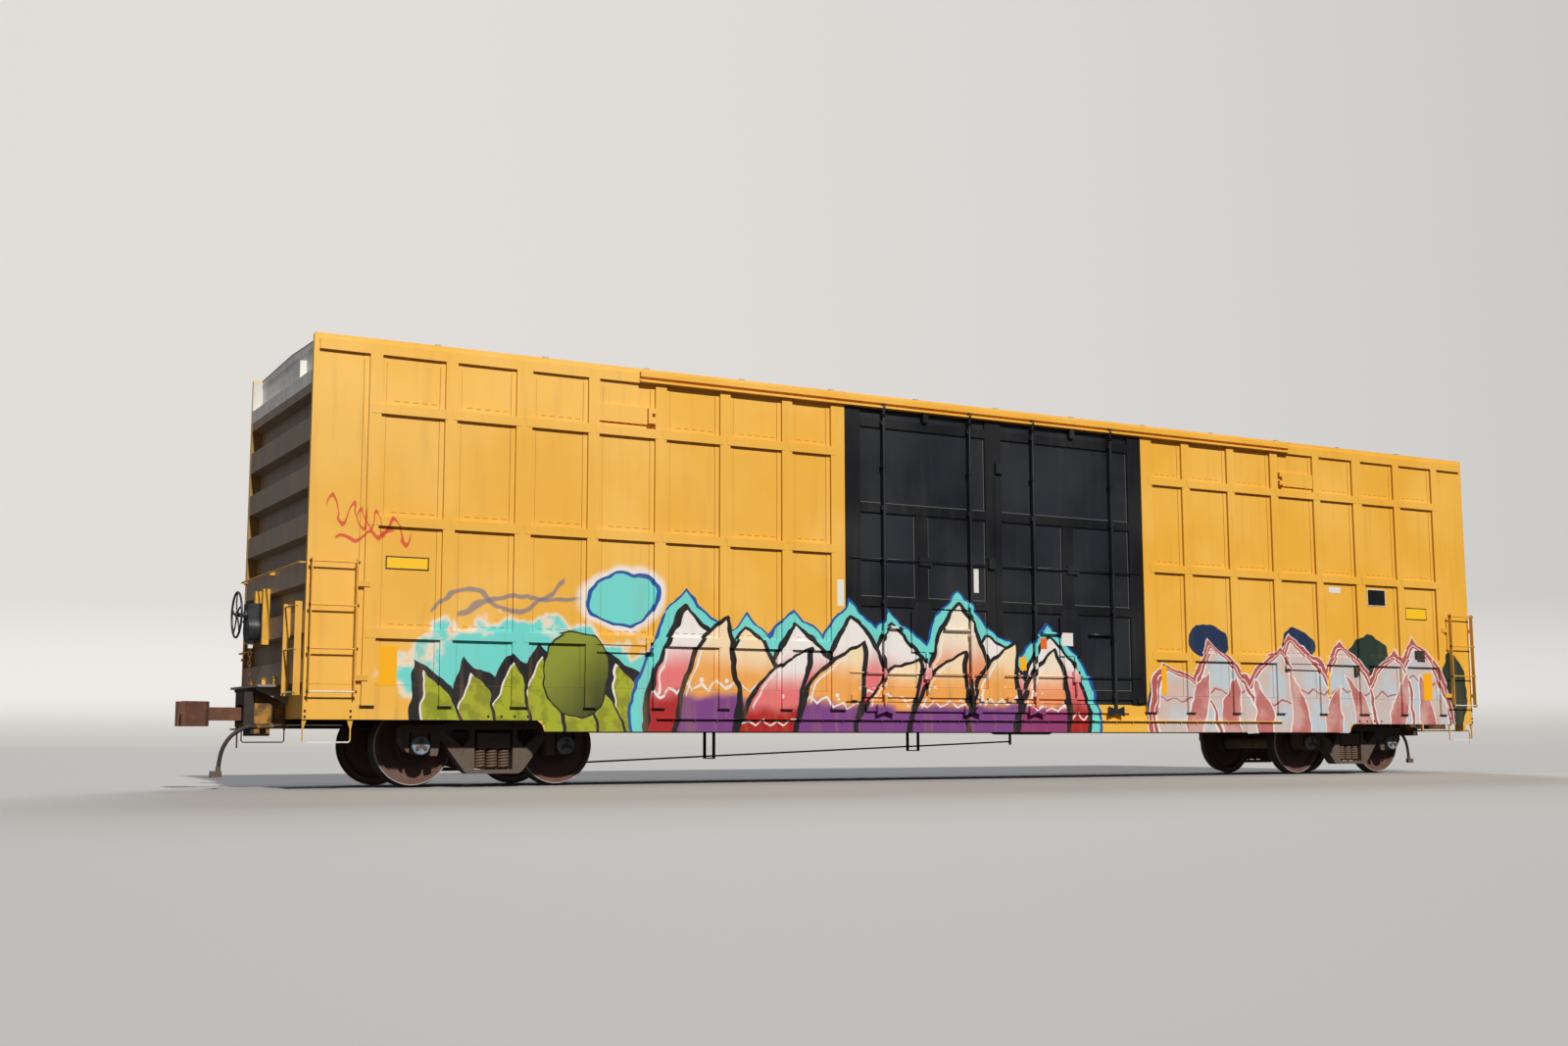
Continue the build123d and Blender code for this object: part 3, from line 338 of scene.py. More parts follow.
def spray_middle(s, paint, x, z):
    """Large leaves, white or cream above and red or purple below, with a turquoise halo."""
    back = leaves(s, x, z, -5.1, 8, 0.80, 0.62, 1.60, (-0.45, 0.15), 5.0)
    front = leaves(s, x, z, -4.9, 7, 0.86, 0.46, 1.28, (0.0, 0.75), 3.0)
    reach = reach_of(s, back)
    paint = s.mix(s.span(reach, -0.18, -0.17), paint, BLUE)
    paint = s.mix(s.span(reach, -0.14, -0.125), paint, TURQUOISE)
    dots = s.add("ShaderNodeTexVoronoi", {"Vector": s.place, "Scale": 5.5}).outputs["Distance"]
    for row, limit in ((back, 0.68), (front, 0.5)):
        for depth, share, offset, random in row:
            warm = s.mix(s.span(share, 0.22, 0.36), RED, PINK)
            warm = s.mix(s.span(share, 0.44, 0.74), warm, WHITE)
            cool = s.mix(s.span(share, 0.26, 0.36), PURPLE, ORANGE)
            cool = s.mix(s.span(share, 0.5, 0.8), cool, CREAM)
            fill = s.mix(s.span(random, limit, limit + 0.02), warm, cool)
            fill = s.mix(zigzag(s, share, offset, random, 0.12, 0.06, 9.0), fill, WHITE)
            spots = s.product(s.span(dots, 0.15, 0.19, 1.0, 0.0), s.inside(share, 0.36, 0.52, 0.01))
            fill = s.mix(spots, fill, WHITE)
            shine = s.product(s.inside(depth, 0.12, 0.15, 0.006), s.span(offset, -0.1, -0.06, 1.0, 0.0))
            fill = s.mix(s.product(shine, s.inside(share, 0.3, 0.86, 0.02)), fill, WHITE)
            fill = s.mix(s.span(depth, 0.075, 0.082, 1.0, 0.0), fill, INK)
            paint = s.mix(s.span(depth, -0.004, 0.004), paint, fill)
    return paint


def spray_left(s, paint, x, z):
    """A turquoise cloud with lime leaves on black, an olive disc and loose grey lines."""
    for line in ((-7.95, -6.35, 2.00, 0.16, 0.16, 4.6), (-7.7, -5.9, 1.92, 0.26, 0.10, 3.1)):
        paint = s.mix(s.product(stroke(s, x, z, *line), 0.75), paint, TAG_GREY)
    cloud = blob(s, x, z, -6.75, 1.2, 1.65, 0.74)
    haze = s.calc("ADD", cloud, s.span(s.noise(2.6, 4), 0.3, 0.7, -0.35, 0.35))
    paint = s.mix(s.span(haze, -0.12, 0.12, 0.0, 0.75), paint, WHITE)
    paint = s.mix(s.span(haze, 0.05, 0.3), paint, TURQUOISE)
    bubble = blob(s, x, z, -5.62, 2.2, 0.52, 0.34)
    paint = s.mix(s.span(bubble, -0.5, 0.0, 0.0, 0.9), paint, WHITE)
    paint = s.mix(s.span(bubble, 0.06, 0.1), paint, BLUE)
    paint = s.mix(s.span(bubble, 0.24, 0.28), paint, TURQUOISE)
    found = leaves(s, x, z, -8.0, 7, 0.40, 0.25, 0.84, (-0.35, 0.1), 11.0)
    paint = s.mix(s.span(reach_of(s, found), -0.13, -0.12), paint, INK)
    shade = s.span(s.noise(7, 2), 0.45, 0.6)
    for depth, _, offset, _ in found:
        rim = s.span(depth, 0.035, 0.04, 1.0, 0.0)
        fill = s.mix(shade, LIME, tuple(0.7 * c for c in LIME))
        fill = s.mix(rim, fill, WHITE)
        fill = s.mix(s.product(s.span(offset, 0.0, 0.02), rim), fill, INK)
        fill = s.mix(s.span(depth, 0.012, 0.016, 1.0, 0.0), fill, INK)
        paint = s.mix(s.span(depth, -0.003, 0.003), paint, fill)
    disc = blob(s, x, z, -6.2, 1.30, 0.42, 0.50)
    slant = s.calc("SUBTRACT", s.calc("MULTIPLY", z, 1.1), x)
    tone = s.mix(s.span(slant, 6.9, 8.1), (0.045, 0.055, 0.008), (0.25, 0.29, 0.03))
    tone = s.mix(s.span(disc, 0.08, 0.1, 1.0, 0.0), tone, INK)
    paint = s.mix(s.span(disc, 0.0, 0.02), paint, tone)
    lines = (
        (-9.22, -8.72, 3.12, -0.25, 0.14, 27.0), (-8.86, -8.28, 3.02, -0.45, 0.12, 33.0),
        (-9.12, -8.45, 2.74, 0.05, 0.05, 21.0),
    )
    for line in lines:
        paint = s.mix(s.product(stroke(s, x, z, *line), 0.85), paint, TAG_RED)
    return paint


def spray_right(s, paint, x, z):
    """Pale leaves with dull red edges, and dark patches behind them."""
    patches = (
        (2.85, 0.95, 0.34, 0.52, NAVY), (3.75, 1.92, 0.42, 0.24, NAVY), (5.55, 1.92, 0.36, 0.26, NAVY),
        (7.05, 1.80, 0.48, 0.30, BOTTLE_GREEN), (8.95, 1.20, 0.34, 0.66, BOTTLE_GREEN),
    )
    for *place, tone in patches:
        paint = s.mix(s.span(blob(s, x, z, *place), 0.0, 0.04), paint, tone)
    found = leaves(s, x, z, 2.9, 7, 0.82, 0.64, 1.22, (-0.45, 0.3), 31.0)
    front = leaves(s, x, z, 3.1, 8, 0.70, 0.20, 0.92, (-0.5, 0.5), 47.0)
    reach = reach_of(s, found)
    paint = s.mix(s.span(reach, -0.11, -0.1), paint, WHITE)
    paint = s.mix(s.span(reach, -0.085, -0.08), paint, DULL_RED)
    pale = s.mix(s.span(s.noise(1.9, 4), 0.42, 0.6), PALE, PALE_BLUE)
    pale = s.mix(s.span(s.noise(3.1, 5, offset=(4, 1, 2)), 0.52, 0.7), pale, (0.66, 0.47, 0.38))
    for depth, share, offset, random in found:
        fill = s.mix(zigzag(s, share, offset, random, 0.3, 0.07, 6.0), pale, DULL_RED)
        fill = s.mix(s.inside(depth, 0.075, 0.1, 0.004), fill, WHITE)
        fill = s.mix(s.span(depth, 0.065, 0.072, 1.0, 0.0), fill, DULL_RED)
        fill = s.mix(s.span(depth, 0.018, 0.022, 1.0, 0.0), fill, WHITE)
        paint = s.mix(s.span(depth, -0.003, 0.003), paint, fill)
    rose = s.mix(s.span(s.noise(2.5, 3), 0.4, 0.62), (0.50, 0.16, 0.15), (0.62, 0.36, 0.33))
    for depth, _, _, _ in front:
        fill = s.mix(s.span(depth, 0.02, 0.026, 1.0, 0.0), rose, WHITE)
        paint = s.mix(s.span(depth, -0.003, 0.003), paint, fill)
    return paint


def sprayed(*zones):
    """Spray the zones on the side that the photograph shows, with slightly wandering edges."""
    def put(s, paint):
        x, y, z = s.axes()
        wander = s.add("ShaderNodeTexNoise", {"Vector": s.place, "Scale": 2.2, "Detail": 2.0})
        shift = s.add("ShaderNodeSeparateXYZ", {0: wander.outputs[1]}).outputs
        x = s.calc("ADD", x, s.span(shift[0], 0.25, 0.75, -0.05, 0.05))
        z = s.calc("ADD", z, s.span(shift[1], 0.25, 0.75, -0.05, 0.05))
        bare = paint
        for zone in zones:
            paint = zone(s, paint, x, z)
        return s.mix(s.calc("LESS_THAN", y, SPRAY_LIMIT), bare, paint)
    return put


def bleached_with_shaded_post_sides(s, paint):
    """Paint bleached towards the B end, most at the top, and painted shade on the narrow sides of the
    posts, the faces that look along the car.
    """
    x, _, z = s.axes()
    bleach = s.mix(s.span(z, 3.8, 4.9), (1.0, 1.03, 1.28), (1.08, 1.15, 1.6))
    paint = s.mix(s.span(x, -9.4, 2.0, 1.0, 0.0), paint, bleach, "MULTIPLY")
    normal = s.add("ShaderNodeNewGeometry").outputs["Normal"]
    facing = s.calc("ABSOLUTE", s.add("ShaderNodeSeparateXYZ", {0: normal}).outputs[0])
    body = s.calc("LESS_THAN", s.calc("ABSOLUTE", x), POST_SHADE_END)
    # Painted shade: faces that look along the car, the sides of the posts, are darkened to brown
    return s.mix(s.product(s.span(facing, 0.6, 0.9, 0.0, 0.55), body), paint, (0.20, 0.10, 0.03))


def door_sheen_and_shade(s, paint):
    """The door frames are painted darker than the panels between them as painted shade, and the deeper
    panels get a lighter bluish tint in soft patches as a painted sheen.
    """
    _, y, _ = s.axes()
    out = s.calc("ABSOLUTE", y)
    soft = s.span(s.noise(1.1, 3, offset=(3, 8, 5)), 0.35, 0.7)
    # Painted sheen: the deeper panel faces are tinted lighter and bluish in soft patches
    paint = s.mix(s.product(s.calc("LESS_THAN", out, PANEL_EDGE), soft), paint, PANEL_SHEEN)
    # Painted shade: the raised frames are darkened
    return s.mix(s.inside(out, PANEL_EDGE, DOOR_FACE + 0.004), paint, (0.60, 0.57, 0.55), "MULTIPLY")


def corner_faces(s):
    """1 on the faces of the corner posts that look towards the middle of the end."""
    x, y, _ = s.axes()
    beyond = s.calc("GREATER_THAN", s.calc("ABSOLUTE", x), CORNER_POST_X)
    within = s.calc("LESS_THAN", s.calc("ABSOLUTE", y), CORNER_POST_Y)
    return s.product(beyond, within)


def corner_white(s, paint):
    """White paint on the inner faces of the corner posts, high up."""
    _, _, z = s.axes()
    high = s.calc("GREATER_THAN", z, up(CORNER_WHITE))
    return s.mix(s.product(corner_faces(s), high), paint, (0.62, 0.60, 0.56))


def corner_shade(s, paint):
    """Road film and painted shade on the inner faces of the corner posts below the white."""
    _, _, z = s.axes()
    low = s.calc("LESS_THAN", z, up(CORNER_WHITE))
    # Road film and painted shade together
    return s.mix(s.product(corner_faces(s), low, 0.75), paint, (0.16, 0.10, 0.05))


def white_treads(s, paint):
    """White paint on the lowest rung of each ladder and on the treads of the sill steps."""
    x, y, z = s.axes()
    across = s.calc("ABSOLUTE", x)
    out = s.calc("ABSOLUTE", y)
    rung = s.inside(z, up(LADDER_RUNGS[0]) - 0.011, up(LADDER_RUNGS[0]) + 0.011)
    on_side = s.calc("GREATER_THAN", out, POST_FACE + 0.04)
    on_end = s.calc("GREATER_THAN", across, END_FACE + 0.05)
    side_rung = s.product(rung, on_side, s.inside(across, *SIDE_RUNG))
    end_rung = s.product(rung, on_end, s.inside(out, *END_RUNG))
    tread = s.calc("LESS_THAN", z, up(STEP_TREAD))
    white = s.calc("MAXIMUM", s.calc("MAXIMUM", side_rung, end_rung), tread)
    return s.mix(white, paint, (0.74, 0.73, 0.70))


def end_film_and_shade(s, paint):
    """The ends: the yellow mostly covered by a grey-brown that is partly road film and partly painted
    shade, white at the top.
    """
    _, _, z = s.axes()
    film = s.noise(2.2, 5, stretch=(1, 1.5, 0.5), rough=0.6)
    # Grey-brown over nearly all the yellow: road film and painted shade together
    paint = s.mix(s.span(film, 0.3, 0.6, 0.85, 1.0), paint, (0.29, 0.230, 0.185))
    stain = s.span(s.noise(5, 5), 0.35, 0.7, 0.0, 0.35)
    white = s.mix(stain, (0.88, 0.87, 0.87), (0.50, 0.46, 0.42))
    return s.mix(s.calc("GREATER_THAN", z, up(END_WHITE)), paint, white)


def weathered_paint(name, colour, faded, grime, rust_share=0.5, roughness=0.45, layers=()):
    """Old gloss paint: faded in patches, streaked with dirt and chipped to rust in places."""
    s = Shading(name, colour)
    _, _, z = s.axes()
    patches = s.noise(0.8, 4)
    paint = s.mix(s.span(patches, 0.35, 0.68), colour, faded)
    for layer in layers:
        paint = layer(s, paint)
    streaks = s.noise(3.2, 5, stretch=(3.0, 3.0, 0.22))
    low = s.span(z, 0.5, 1.5, 0.4, 0.16)
    dirt = s.calc("MULTIPLY", s.span(streaks, 0.5, 0.78), low)
    paint = s.mix(dirt, paint, grime)
    chips = s.noise(38, 4, rough=0.65)
    where = s.noise(2.1, 3, offset=(7, 3, 1))
    limit = s.span(where, 0.45, 0.75, 0.86, 0.86 - 0.2 * rust_share)
    rust = s.calc("GREATER_THAN", chips, limit)
    rust_colour = s.mix(s.span(s.noise(90, 2), 0.3, 0.7), (0.12, 0.035, 0.012), (0.3, 0.1, 0.03))
    paint = s.mix(rust, paint, rust_colour)
    rough = s.span(patches, 0.3, 0.7, roughness - 0.06, roughness + 0.1)
    rough = s.calc("ADD", rough, s.calc("MULTIPLY", dirt, 0.3))
    orange_peel = s.calc("MULTIPLY", s.noise(220, 2), 0.25)
    height = s.calc("ADD", orange_peel, s.calc("MULTIPLY", s.noise(1.7, 2), 6.0))
    return s.finish(paint, rough, height, 0.0006)


def dusty_metal(name, colour, dust, rust, rust_share=0.5, roughness=0.7, grain=60.0, layers=()):
    """Cast or rolled steel out of doors, with dust lying on what faces up and rust in patches."""
    s = Shading(name, colour, roughness)
    normal = s.add("ShaderNodeNewGeometry").outputs["Normal"]
    facing_up = s.add("ShaderNodeSeparateXYZ", {0: normal}).outputs[2]
    spots = s.noise(9, 5, rough=0.6)
    base = s.mix(s.span(spots, 0.62 - 0.25 * rust_share, 0.7), colour, rust)
    pitted = s.span(s.noise(grain, 3), 0.35, 0.75, 0.0, 0.35)
    base = s.mix(pitted, base, tuple(0.45 * c for c in colour))
    share = s.span(s.noise(14, 4), 0.3, 0.65, 0.2, 0.75)
    settled = s.calc("MULTIPLY", s.span(facing_up, -0.2, 0.9), share)
    base = s.mix(settled, base, dust)
    for layer in layers:
        base = layer(s, base)
    height = s.calc("ADD", s.noise(grain, 4, rough=0.6), s.noise(grain / 5, 3))
    return s.finish(base, s.span(spots, 0.3, 0.7, roughness - 0.1, roughness + 0.12), height, 0.0015)


def axle_radius(s):
    """Distance from the nearest axle's own line."""
    x, _, z = s.axes()
    from_truck = s.calc("ABSOLUTE", s.calc("SUBTRACT", s.calc("ABSOLUTE", x), TRUCK_X))
    along = s.calc("POWER", s.calc("SUBTRACT", from_truck, WHEELBASE / 2), 2.0)
    rise = s.calc("POWER", s.calc("SUBTRACT", z, AXLE_Z), 2.0)
    return s.calc("SQRT", s.calc("ADD", along, rise))


def wheel_grease_shade_and_highlight(s, base):
    """Dark grease and painted shade round the hub, a tread painted dark as painted shade, and a painted
    highlight along its outer edge.
    """
    _, y, _ = s.axes()
    radius = axle_radius(s)
    # Dark grease and painted shade round the hub
    base = s.mix(s.span(radius, 0.15, 0.32, 0.75, 0.0), base, (0.03, 0.024, 0.02))
    # Painted shade: the tread is darkened
    tread = s.span(radius, TREAD_RADIUS - 0.010, TREAD_RADIUS - 0.007)
    base = s.mix(tread, base, (0.045, 0.038, 0.035))
    # Painted highlight: a thin bright line along the tread's outer edge
    edge = s.span(s.calc("ABSOLUTE", y), 0.800, 0.806)
    near = s.span(radius, TREAD_RADIUS - 0.014, TREAD_RADIUS - 0.010)
    return s.mix(s.product(edge, near), base, (0.50, 0.49, 0.50))


def blue_caps(s, base):
    """Pale blue paint on the end caps of the bearings, worn to metal and dirt."""
    _, y, _ = s.axes()
    cap = s.calc("GREATER_THAN", s.calc("ABSOLUTE", y), CAP_FACE - 0.052)
    worn = s.span(s.noise(26, 4), 0.4, 0.62, 0.9, 0.35)
    return s.mix(s.product(cap, worn), base, (0.24, 0.34, 0.46))


def yellow_ends(s, base):
    """The draft sill is yellow where it shows beyond the end of the body, up to the striker."""
    x, _, _ = s.axes()
    end = s.inside(s.calc("ABSOLUTE", x), CORNER_POST_X, DRAFT_SILL_END)
    return s.mix(s.product(end, s.span(s.noise(7, 5), 0.36, 0.6, 0.8, 0.12)), base, (0.50, 0.25, 0.035))


def yellow_mounts(s, base):
    """The bars that carry the hand brake are yellow."""
    x, _, _ = s.axes()
    behind = s.calc("LESS_THAN", s.calc("ABSOLUTE", x), END_FACE + 0.081)
    return s.mix(s.product(behind, s.span(s.noise(5, 4), 0.3, 0.6, 1.0, 0.8)), base, YELLOW)


def plain_paint(name, colour, roughness=0.5):
    """One even colour, for small plates, labels and marks."""
    return Shading(name, colour, roughness).finish()


YELLOW = (0.83, 0.435, 0.048)
YELLOW_FADED = (0.86, 0.48, 0.075)
YELLOW_GRIME = (0.36, 0.19, 0.05)
HARDWARE = (0.70, 0.37, 0.052)
HARDWARE_FADED = (0.80, 0.44, 0.07)
BLACK = (0.010, 0.011, 0.015)
BLACK_FADED = (0.018, 0.020, 0.025)
# Lighter bluish tint of the door panels, a painted sheen
PANEL_SHEEN = (0.015, 0.019, 0.027)


def yellow_paint(name, *layers):
    """The body's yellow, with other layers over it."""
    layers = (bleached_with_shaded_post_sides, *layers, corner_shade, corner_white)
    return weathered_paint(name, YELLOW, YELLOW_FADED, YELLOW_GRIME, layers=layers)


finishes = {
    "yellow": yellow_paint("yellow_paint"),
    "yellow_b": yellow_paint("yellow_sprayed_b", sprayed(spray_left, spray_middle)),
    "yellow_middle": yellow_paint("yellow_sprayed_middle", sprayed(spray_middle)),
    "yellow_a": yellow_paint("yellow_sprayed_a", sprayed(spray_right)),
    "hardware": weathered_paint(
        "yellow_hardware", HARDWARE, HARDWARE_FADED, (0.17, 0.08, 0.03), 0.8, layers=(white_treads,),
    ),
    "end": weathered_paint(
        "end_paint", YELLOW, YELLOW_FADED, (0.10, 0.08, 0.06), 0.8, layers=(end_film_and_shade,),
    ),
    "black": weathered_paint(
        "black_paint", BLACK, BLACK_FADED, (0.05, 0.045, 0.04), roughness=0.38,
        layers=(door_sheen_and_shade, sprayed(spray_middle)),
    ),
    "under": dusty_metal(
        "under_paint", (0.022, 0.019, 0.016), (0.07, 0.06, 0.05), (0.045, 0.025, 0.015),
        layers=(yellow_ends,),
    ),
    "zinc": dusty_metal(
        "roof_zinc", (0.42, 0.43, 0.43), (0.36, 0.34, 0.31), (0.33, 0.2, 0.12), 0.1, 0.45,
    ),
    "wood": dusty_metal(
        "floor_wood", (0.22, 0.14, 0.08), (0.3, 0.23, 0.16), (0.13, 0.08, 0.05), 0.4, 0.8, 30,
    ),
    "cast": dusty_metal("truck_cast", (0.115, 0.088, 0.068), (0.22, 0.18, 0.14), (0.12, 0.068, 0.045)),
    "spring": dusty_metal(
        "spring_steel", (0.125, 0.074, 0.052), (0.17, 0.12, 0.09), (0.14, 0.065, 0.04), 0.8,
    ),
    "wheel": dusty_metal(
        "wheel_steel", (0.14, 0.070, 0.056), (0.18, 0.11, 0.085), (0.16, 0.082, 0.062), 0.7, 0.55,
        layers=(wheel_grease_shade_and_highlight,),
    ),
    "axle": dusty_metal(
        "axle_steel", (0.16, 0.13, 0.11), (0.2, 0.17, 0.14), (0.16, 0.08, 0.05), 0.4, layers=(blue_caps,),
    ),
    "coupler": dusty_metal(
        "coupler_cast", (0.12, 0.05, 0.03), (0.18, 0.10, 0.07), (0.2, 0.08, 0.035), 0.8, 0.8,
    ),
    "brake": dusty_metal(
        "brake_paint", (0.026, 0.031, 0.038), (0.08, 0.075, 0.07), (0.07, 0.04, 0.025), 0.2, 0.4,
        layers=(yellow_mounts,),
    ),
    "grating": dusty_metal(
        "grating_steel", (0.26, 0.25, 0.24), (0.3, 0.27, 0.23), (0.25, 0.13, 0.07), 0.3, 0.5,
    ),
    "rubber": dusty_metal(
        "hose_rubber", (0.02, 0.02, 0.02), (0.09, 0.08, 0.07), (0.04, 0.035, 0.03), 0.2, 0.75, 120,
    ),
    "dark_steel": dusty_metal(
        "dark_steel", (0.035, 0.026, 0.02), (0.09, 0.07, 0.05), (0.12, 0.05, 0.02), 0.6,
    ),
    "seam": plain_paint("seam_dirt", (0.17, 0.075, 0.02), 0.8),
    "white": plain_paint("white_label", (0.74, 0.73, 0.70)),
    "grey": plain_paint("grey_edge", (0.20, 0.195, 0.19)),
    "ink": plain_paint("plate_border", (0.02, 0.018, 0.015)),
    "orange": plain_paint("orange_label", (0.75, 0.14, 0.02)),
    "reflector": plain_paint("reflector_tape", (0.93, 0.44, 0.006), 0.4),
    "placard": plain_paint("placard_face", (0.94, 0.55, 0.010), 0.5),
}

NODE_FINISHES = {
    "yellow": ["wall_left", "side_sills", "top_chords", "end_sills"],
    "yellow_b": ["wall_right_b"],
    "yellow_middle": ["door_tracks"],
    "yellow_a": ["wall_right_a"],
    "hardware": ["side_ladders", "end_ladders", "sill_steps", "end_handholds", "uncoupling_levers"],
    "end": ["end_wall"],
    "black": ["door_left", "door_right", "lock_bars"],
    "under": [
        "centre_sill", "body_bolsters", "crossbearers", "air_reservoir", "brake_cylinder", "brake_valve",
        "brake_pipe", "strikers",
    ],
    "zinc": ["roof"],
    "wood": ["floor"],
    "cast": ["side_frames", "truck_bolster", "brake_beams", "bearings", "glad_hand"],
    "spring": ["springs"],
    "wheel": ["wheels"],
    "axle": ["axle"],
    "coupler": ["coupler", "knuckle"],
    "brake": ["brake_gear_housing", "brake_wheel"],
    "grating": ["brake_platform"],
    "rubber": ["air_hose"],
}


def set_finish(piece, finish):
    """Give a whole piece one material."""
    piece.data.materials.clear()
    piece.data.materials.append(finishes[finish])


for finish, starts in NODE_FINISHES.items():
    for name, node in nodes.items():
        if any(name.startswith(start) for start in starts):
            set_finish(node, finish)
for hose in hoses:
    set_finish(hose, "rubber")


# Corners of a block are numbered with x first and z last
BLOCK_FACES = ((0, 1, 3, 2), (4, 6, 7, 5), (0, 4, 5, 1), (2, 3, 7, 6), (0, 2, 6, 4), (1, 5, 7, 3))


def add_block(mesh, first, second):
    """Add a block between two corners."""
    spans = [sorted(pair) for pair in zip(first, second)]
    corners = [mesh.verts.new((x, y, z)) for x in spans[0] for y in spans[1] for z in spans[2]]
    for face in BLOCK_FACES:
        mesh.faces.new([corners[i] for i in face])


def add_tube(mesh, points, radius, sides=8, closed=False):
    """Add a round bar along a line of points, with flat ends, or as a ring."""
    points = [Vector(p) for p in points]
    count = len(points)
    rings = []
    side_way = None
    for i, point in enumerate(points):
        before = points[i - 1] if i > 0 or closed else point
        after = points[(i + 1) % count] if i < count - 1 or closed else point
        way = (after - before).normalized()
        if side_way is None:
            side_way = way.orthogonal()
        side_way = (side_way - way * side_way.dot(way)).normalized()
        up_way = way.cross(side_way)
        rings.append([
            mesh.verts.new(point + radius * (math.cos(a) * side_way + math.sin(a) * up_way))
            for a in [2 * math.pi * k / sides for k in range(sides)]
        ])
    pairs = list(zip(rings, rings[1:]))
    if closed:
        pairs.append((rings[-1], rings[0]))
    for first, second in pairs:
        for k in range(sides):
            j = (k + 1) % sides
            face = mesh.faces.new((first[k], first[j], second[j], second[k]))
            face.smooth = sides > 6
    if not closed:
        mesh.faces.new(rings[0][::-1])
        mesh.faces.new(rings[-1])


def make_piece(name, mesh, body, finish):
    """Turn a finished mesh into a piece that rides on a body."""
    data = bpy.data.meshes.new(name)
    mesh.to_mesh(data)
    mesh.free()
    piece = bpy.data.objects.new(name, data)
    bpy.context.scene.collection.objects.link(piece)
    set_finish(piece, finish)
    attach(piece, body)
    return piece


CORNERS = [(end, side) for end in (-1, 1) for side in (-1, 1)]


def make_bolts():
    """Bolt heads of the ladders, the sill steps and the sills over the trucks."""
    mesh = bmesh.new()
    for end, side in CORNERS:
        for height in LADDER_RUNGS:
            for x, way in ((8.853, -1), (9.364, 1)):
                start = Vector((end * x, side * LADDER_LINE, up(height)))
                add_tube(mesh, (start, start + Vector((end * way * 0.02, 0, 0))), 0.017, 8)
        for x in (8.866, 9.366):
            for height in (0.775, 0.838):
                start = Vector((end * x, side * SHEET_FACE, up(height)))
                add_tube(mesh, (start, start + Vector((0, side * 0.012, 0))), 0.014, 6)
        for x in (6.80, 6.96, 7.12, 7.28):
            start = Vector((end * x, side * SHEET_FACE, up(0.79)))
            add_tube(mesh, (start, start + Vector((0, side * 0.012, 0))), 0.014, 6)
    return make_piece("bolt_heads", mesh, "car_body", "dark_steel")


def make_post_foot_shadows():
    """Dark strips, slightly wider than the posts, under the post feet on the side sills: a painted
    shadow.
    """
    mesh = bmesh.new()
    for end, side in CORNERS:
        for outer, inner in POSTS:
            # Painted shadow under each post foot
            add_block(
                mesh,
                (end * (inner - 0.012), side * SHEET_FACE, up(POST_BOTTOM) - 0.008),
                (end * (outer + 0.012), side * (POST_FACE + 0.003), up(POST_BOTTOM)),
            )
    return make_piece("post_foot_shadows", mesh, "car_body", "dark_steel")


def make_seams():
    """Dirt in the laps of the side sheets and in the stitched welds above the ribs."""
    mesh = bmesh.new()

    def mark(end, side, left, right, low, high):
        first = (end * left, side * (SHEET_FACE - 0.001), low)
        add_block(mesh, first, (end * right, side * (SHEET_FACE + 0.001), high))

    for end, side in CORNERS:
        mark(end, side, POSTS[-1][0], END_FACE - 0.03, up(SHEET_BOTTOM) - 0.003, up(SHEET_BOTTOM))
        edge = None
        for outer, inner in POSTS[::-1]:
            seam = outer + SEAM_REACH
            mark(end, side, seam, seam + 0.004, up(SHEET_BOTTOM), up(SHEET_TOP))
            if inner - SEAM_REACH > POSTS[-1][0]:
                seam = inner - SEAM_REACH
                mark(end, side, seam - 0.004, seam, up(SHEET_BOTTOM), up(SHEET_TOP))
                count = int((seam - edge) / STITCH)
                for top in RIB_TOPS:
                    for number in range(count):
                        start = edge + STITCH * (number + 0.3)
                        mark(end, side, start, start + 0.6 * STITCH, up(top + 0.048), up(top + 0.053))
            edge = outer + SEAM_REACH
    return make_piece("side_seams", mesh, "car_body", "seam")


def make_sill_paint():
    """The spray's coat on the right side sill, in three lengths."""
    face, back = -SHEET_FACE - 0.0008, -SHEET_FACE + 0.002
    lengths = (
        ("yellow_b", (
            (-8.9, -SILL_STEP - 0.03, SILL_BOTTOM_END, SHEET_BOTTOM),
            (-SILL_STEP - 0.03, -SILL_STEP, SILL_BOTTOM_END - 0.05, SHEET_BOTTOM),
            (-SILL_STEP, -DOOR_HALF, SILL_BOTTOM, SHEET_BOTTOM),
            (-DOOR_HALF, -1.0, SILL_BOTTOM, THRESHOLD_TOP),
        )),
        ("yellow_middle", ((-1.0, DOOR_HALF, SILL_BOTTOM, THRESHOLD_TOP),)),
        ("yellow_a", (
            (DOOR_HALF, SILL_STEP, SILL_BOTTOM, SHEET_BOTTOM),
            (SILL_STEP, 9.3, SILL_BOTTOM_END, SHEET_BOTTOM),
        )),
    )
    for finish, spots in lengths:
        mesh = bmesh.new()
        for left, right, low, high in spots:
            add_block(mesh, (left, face, up(low)), (right, back, up(high)))
        make_piece(f"sill_{finish}", mesh, "car_body", finish)


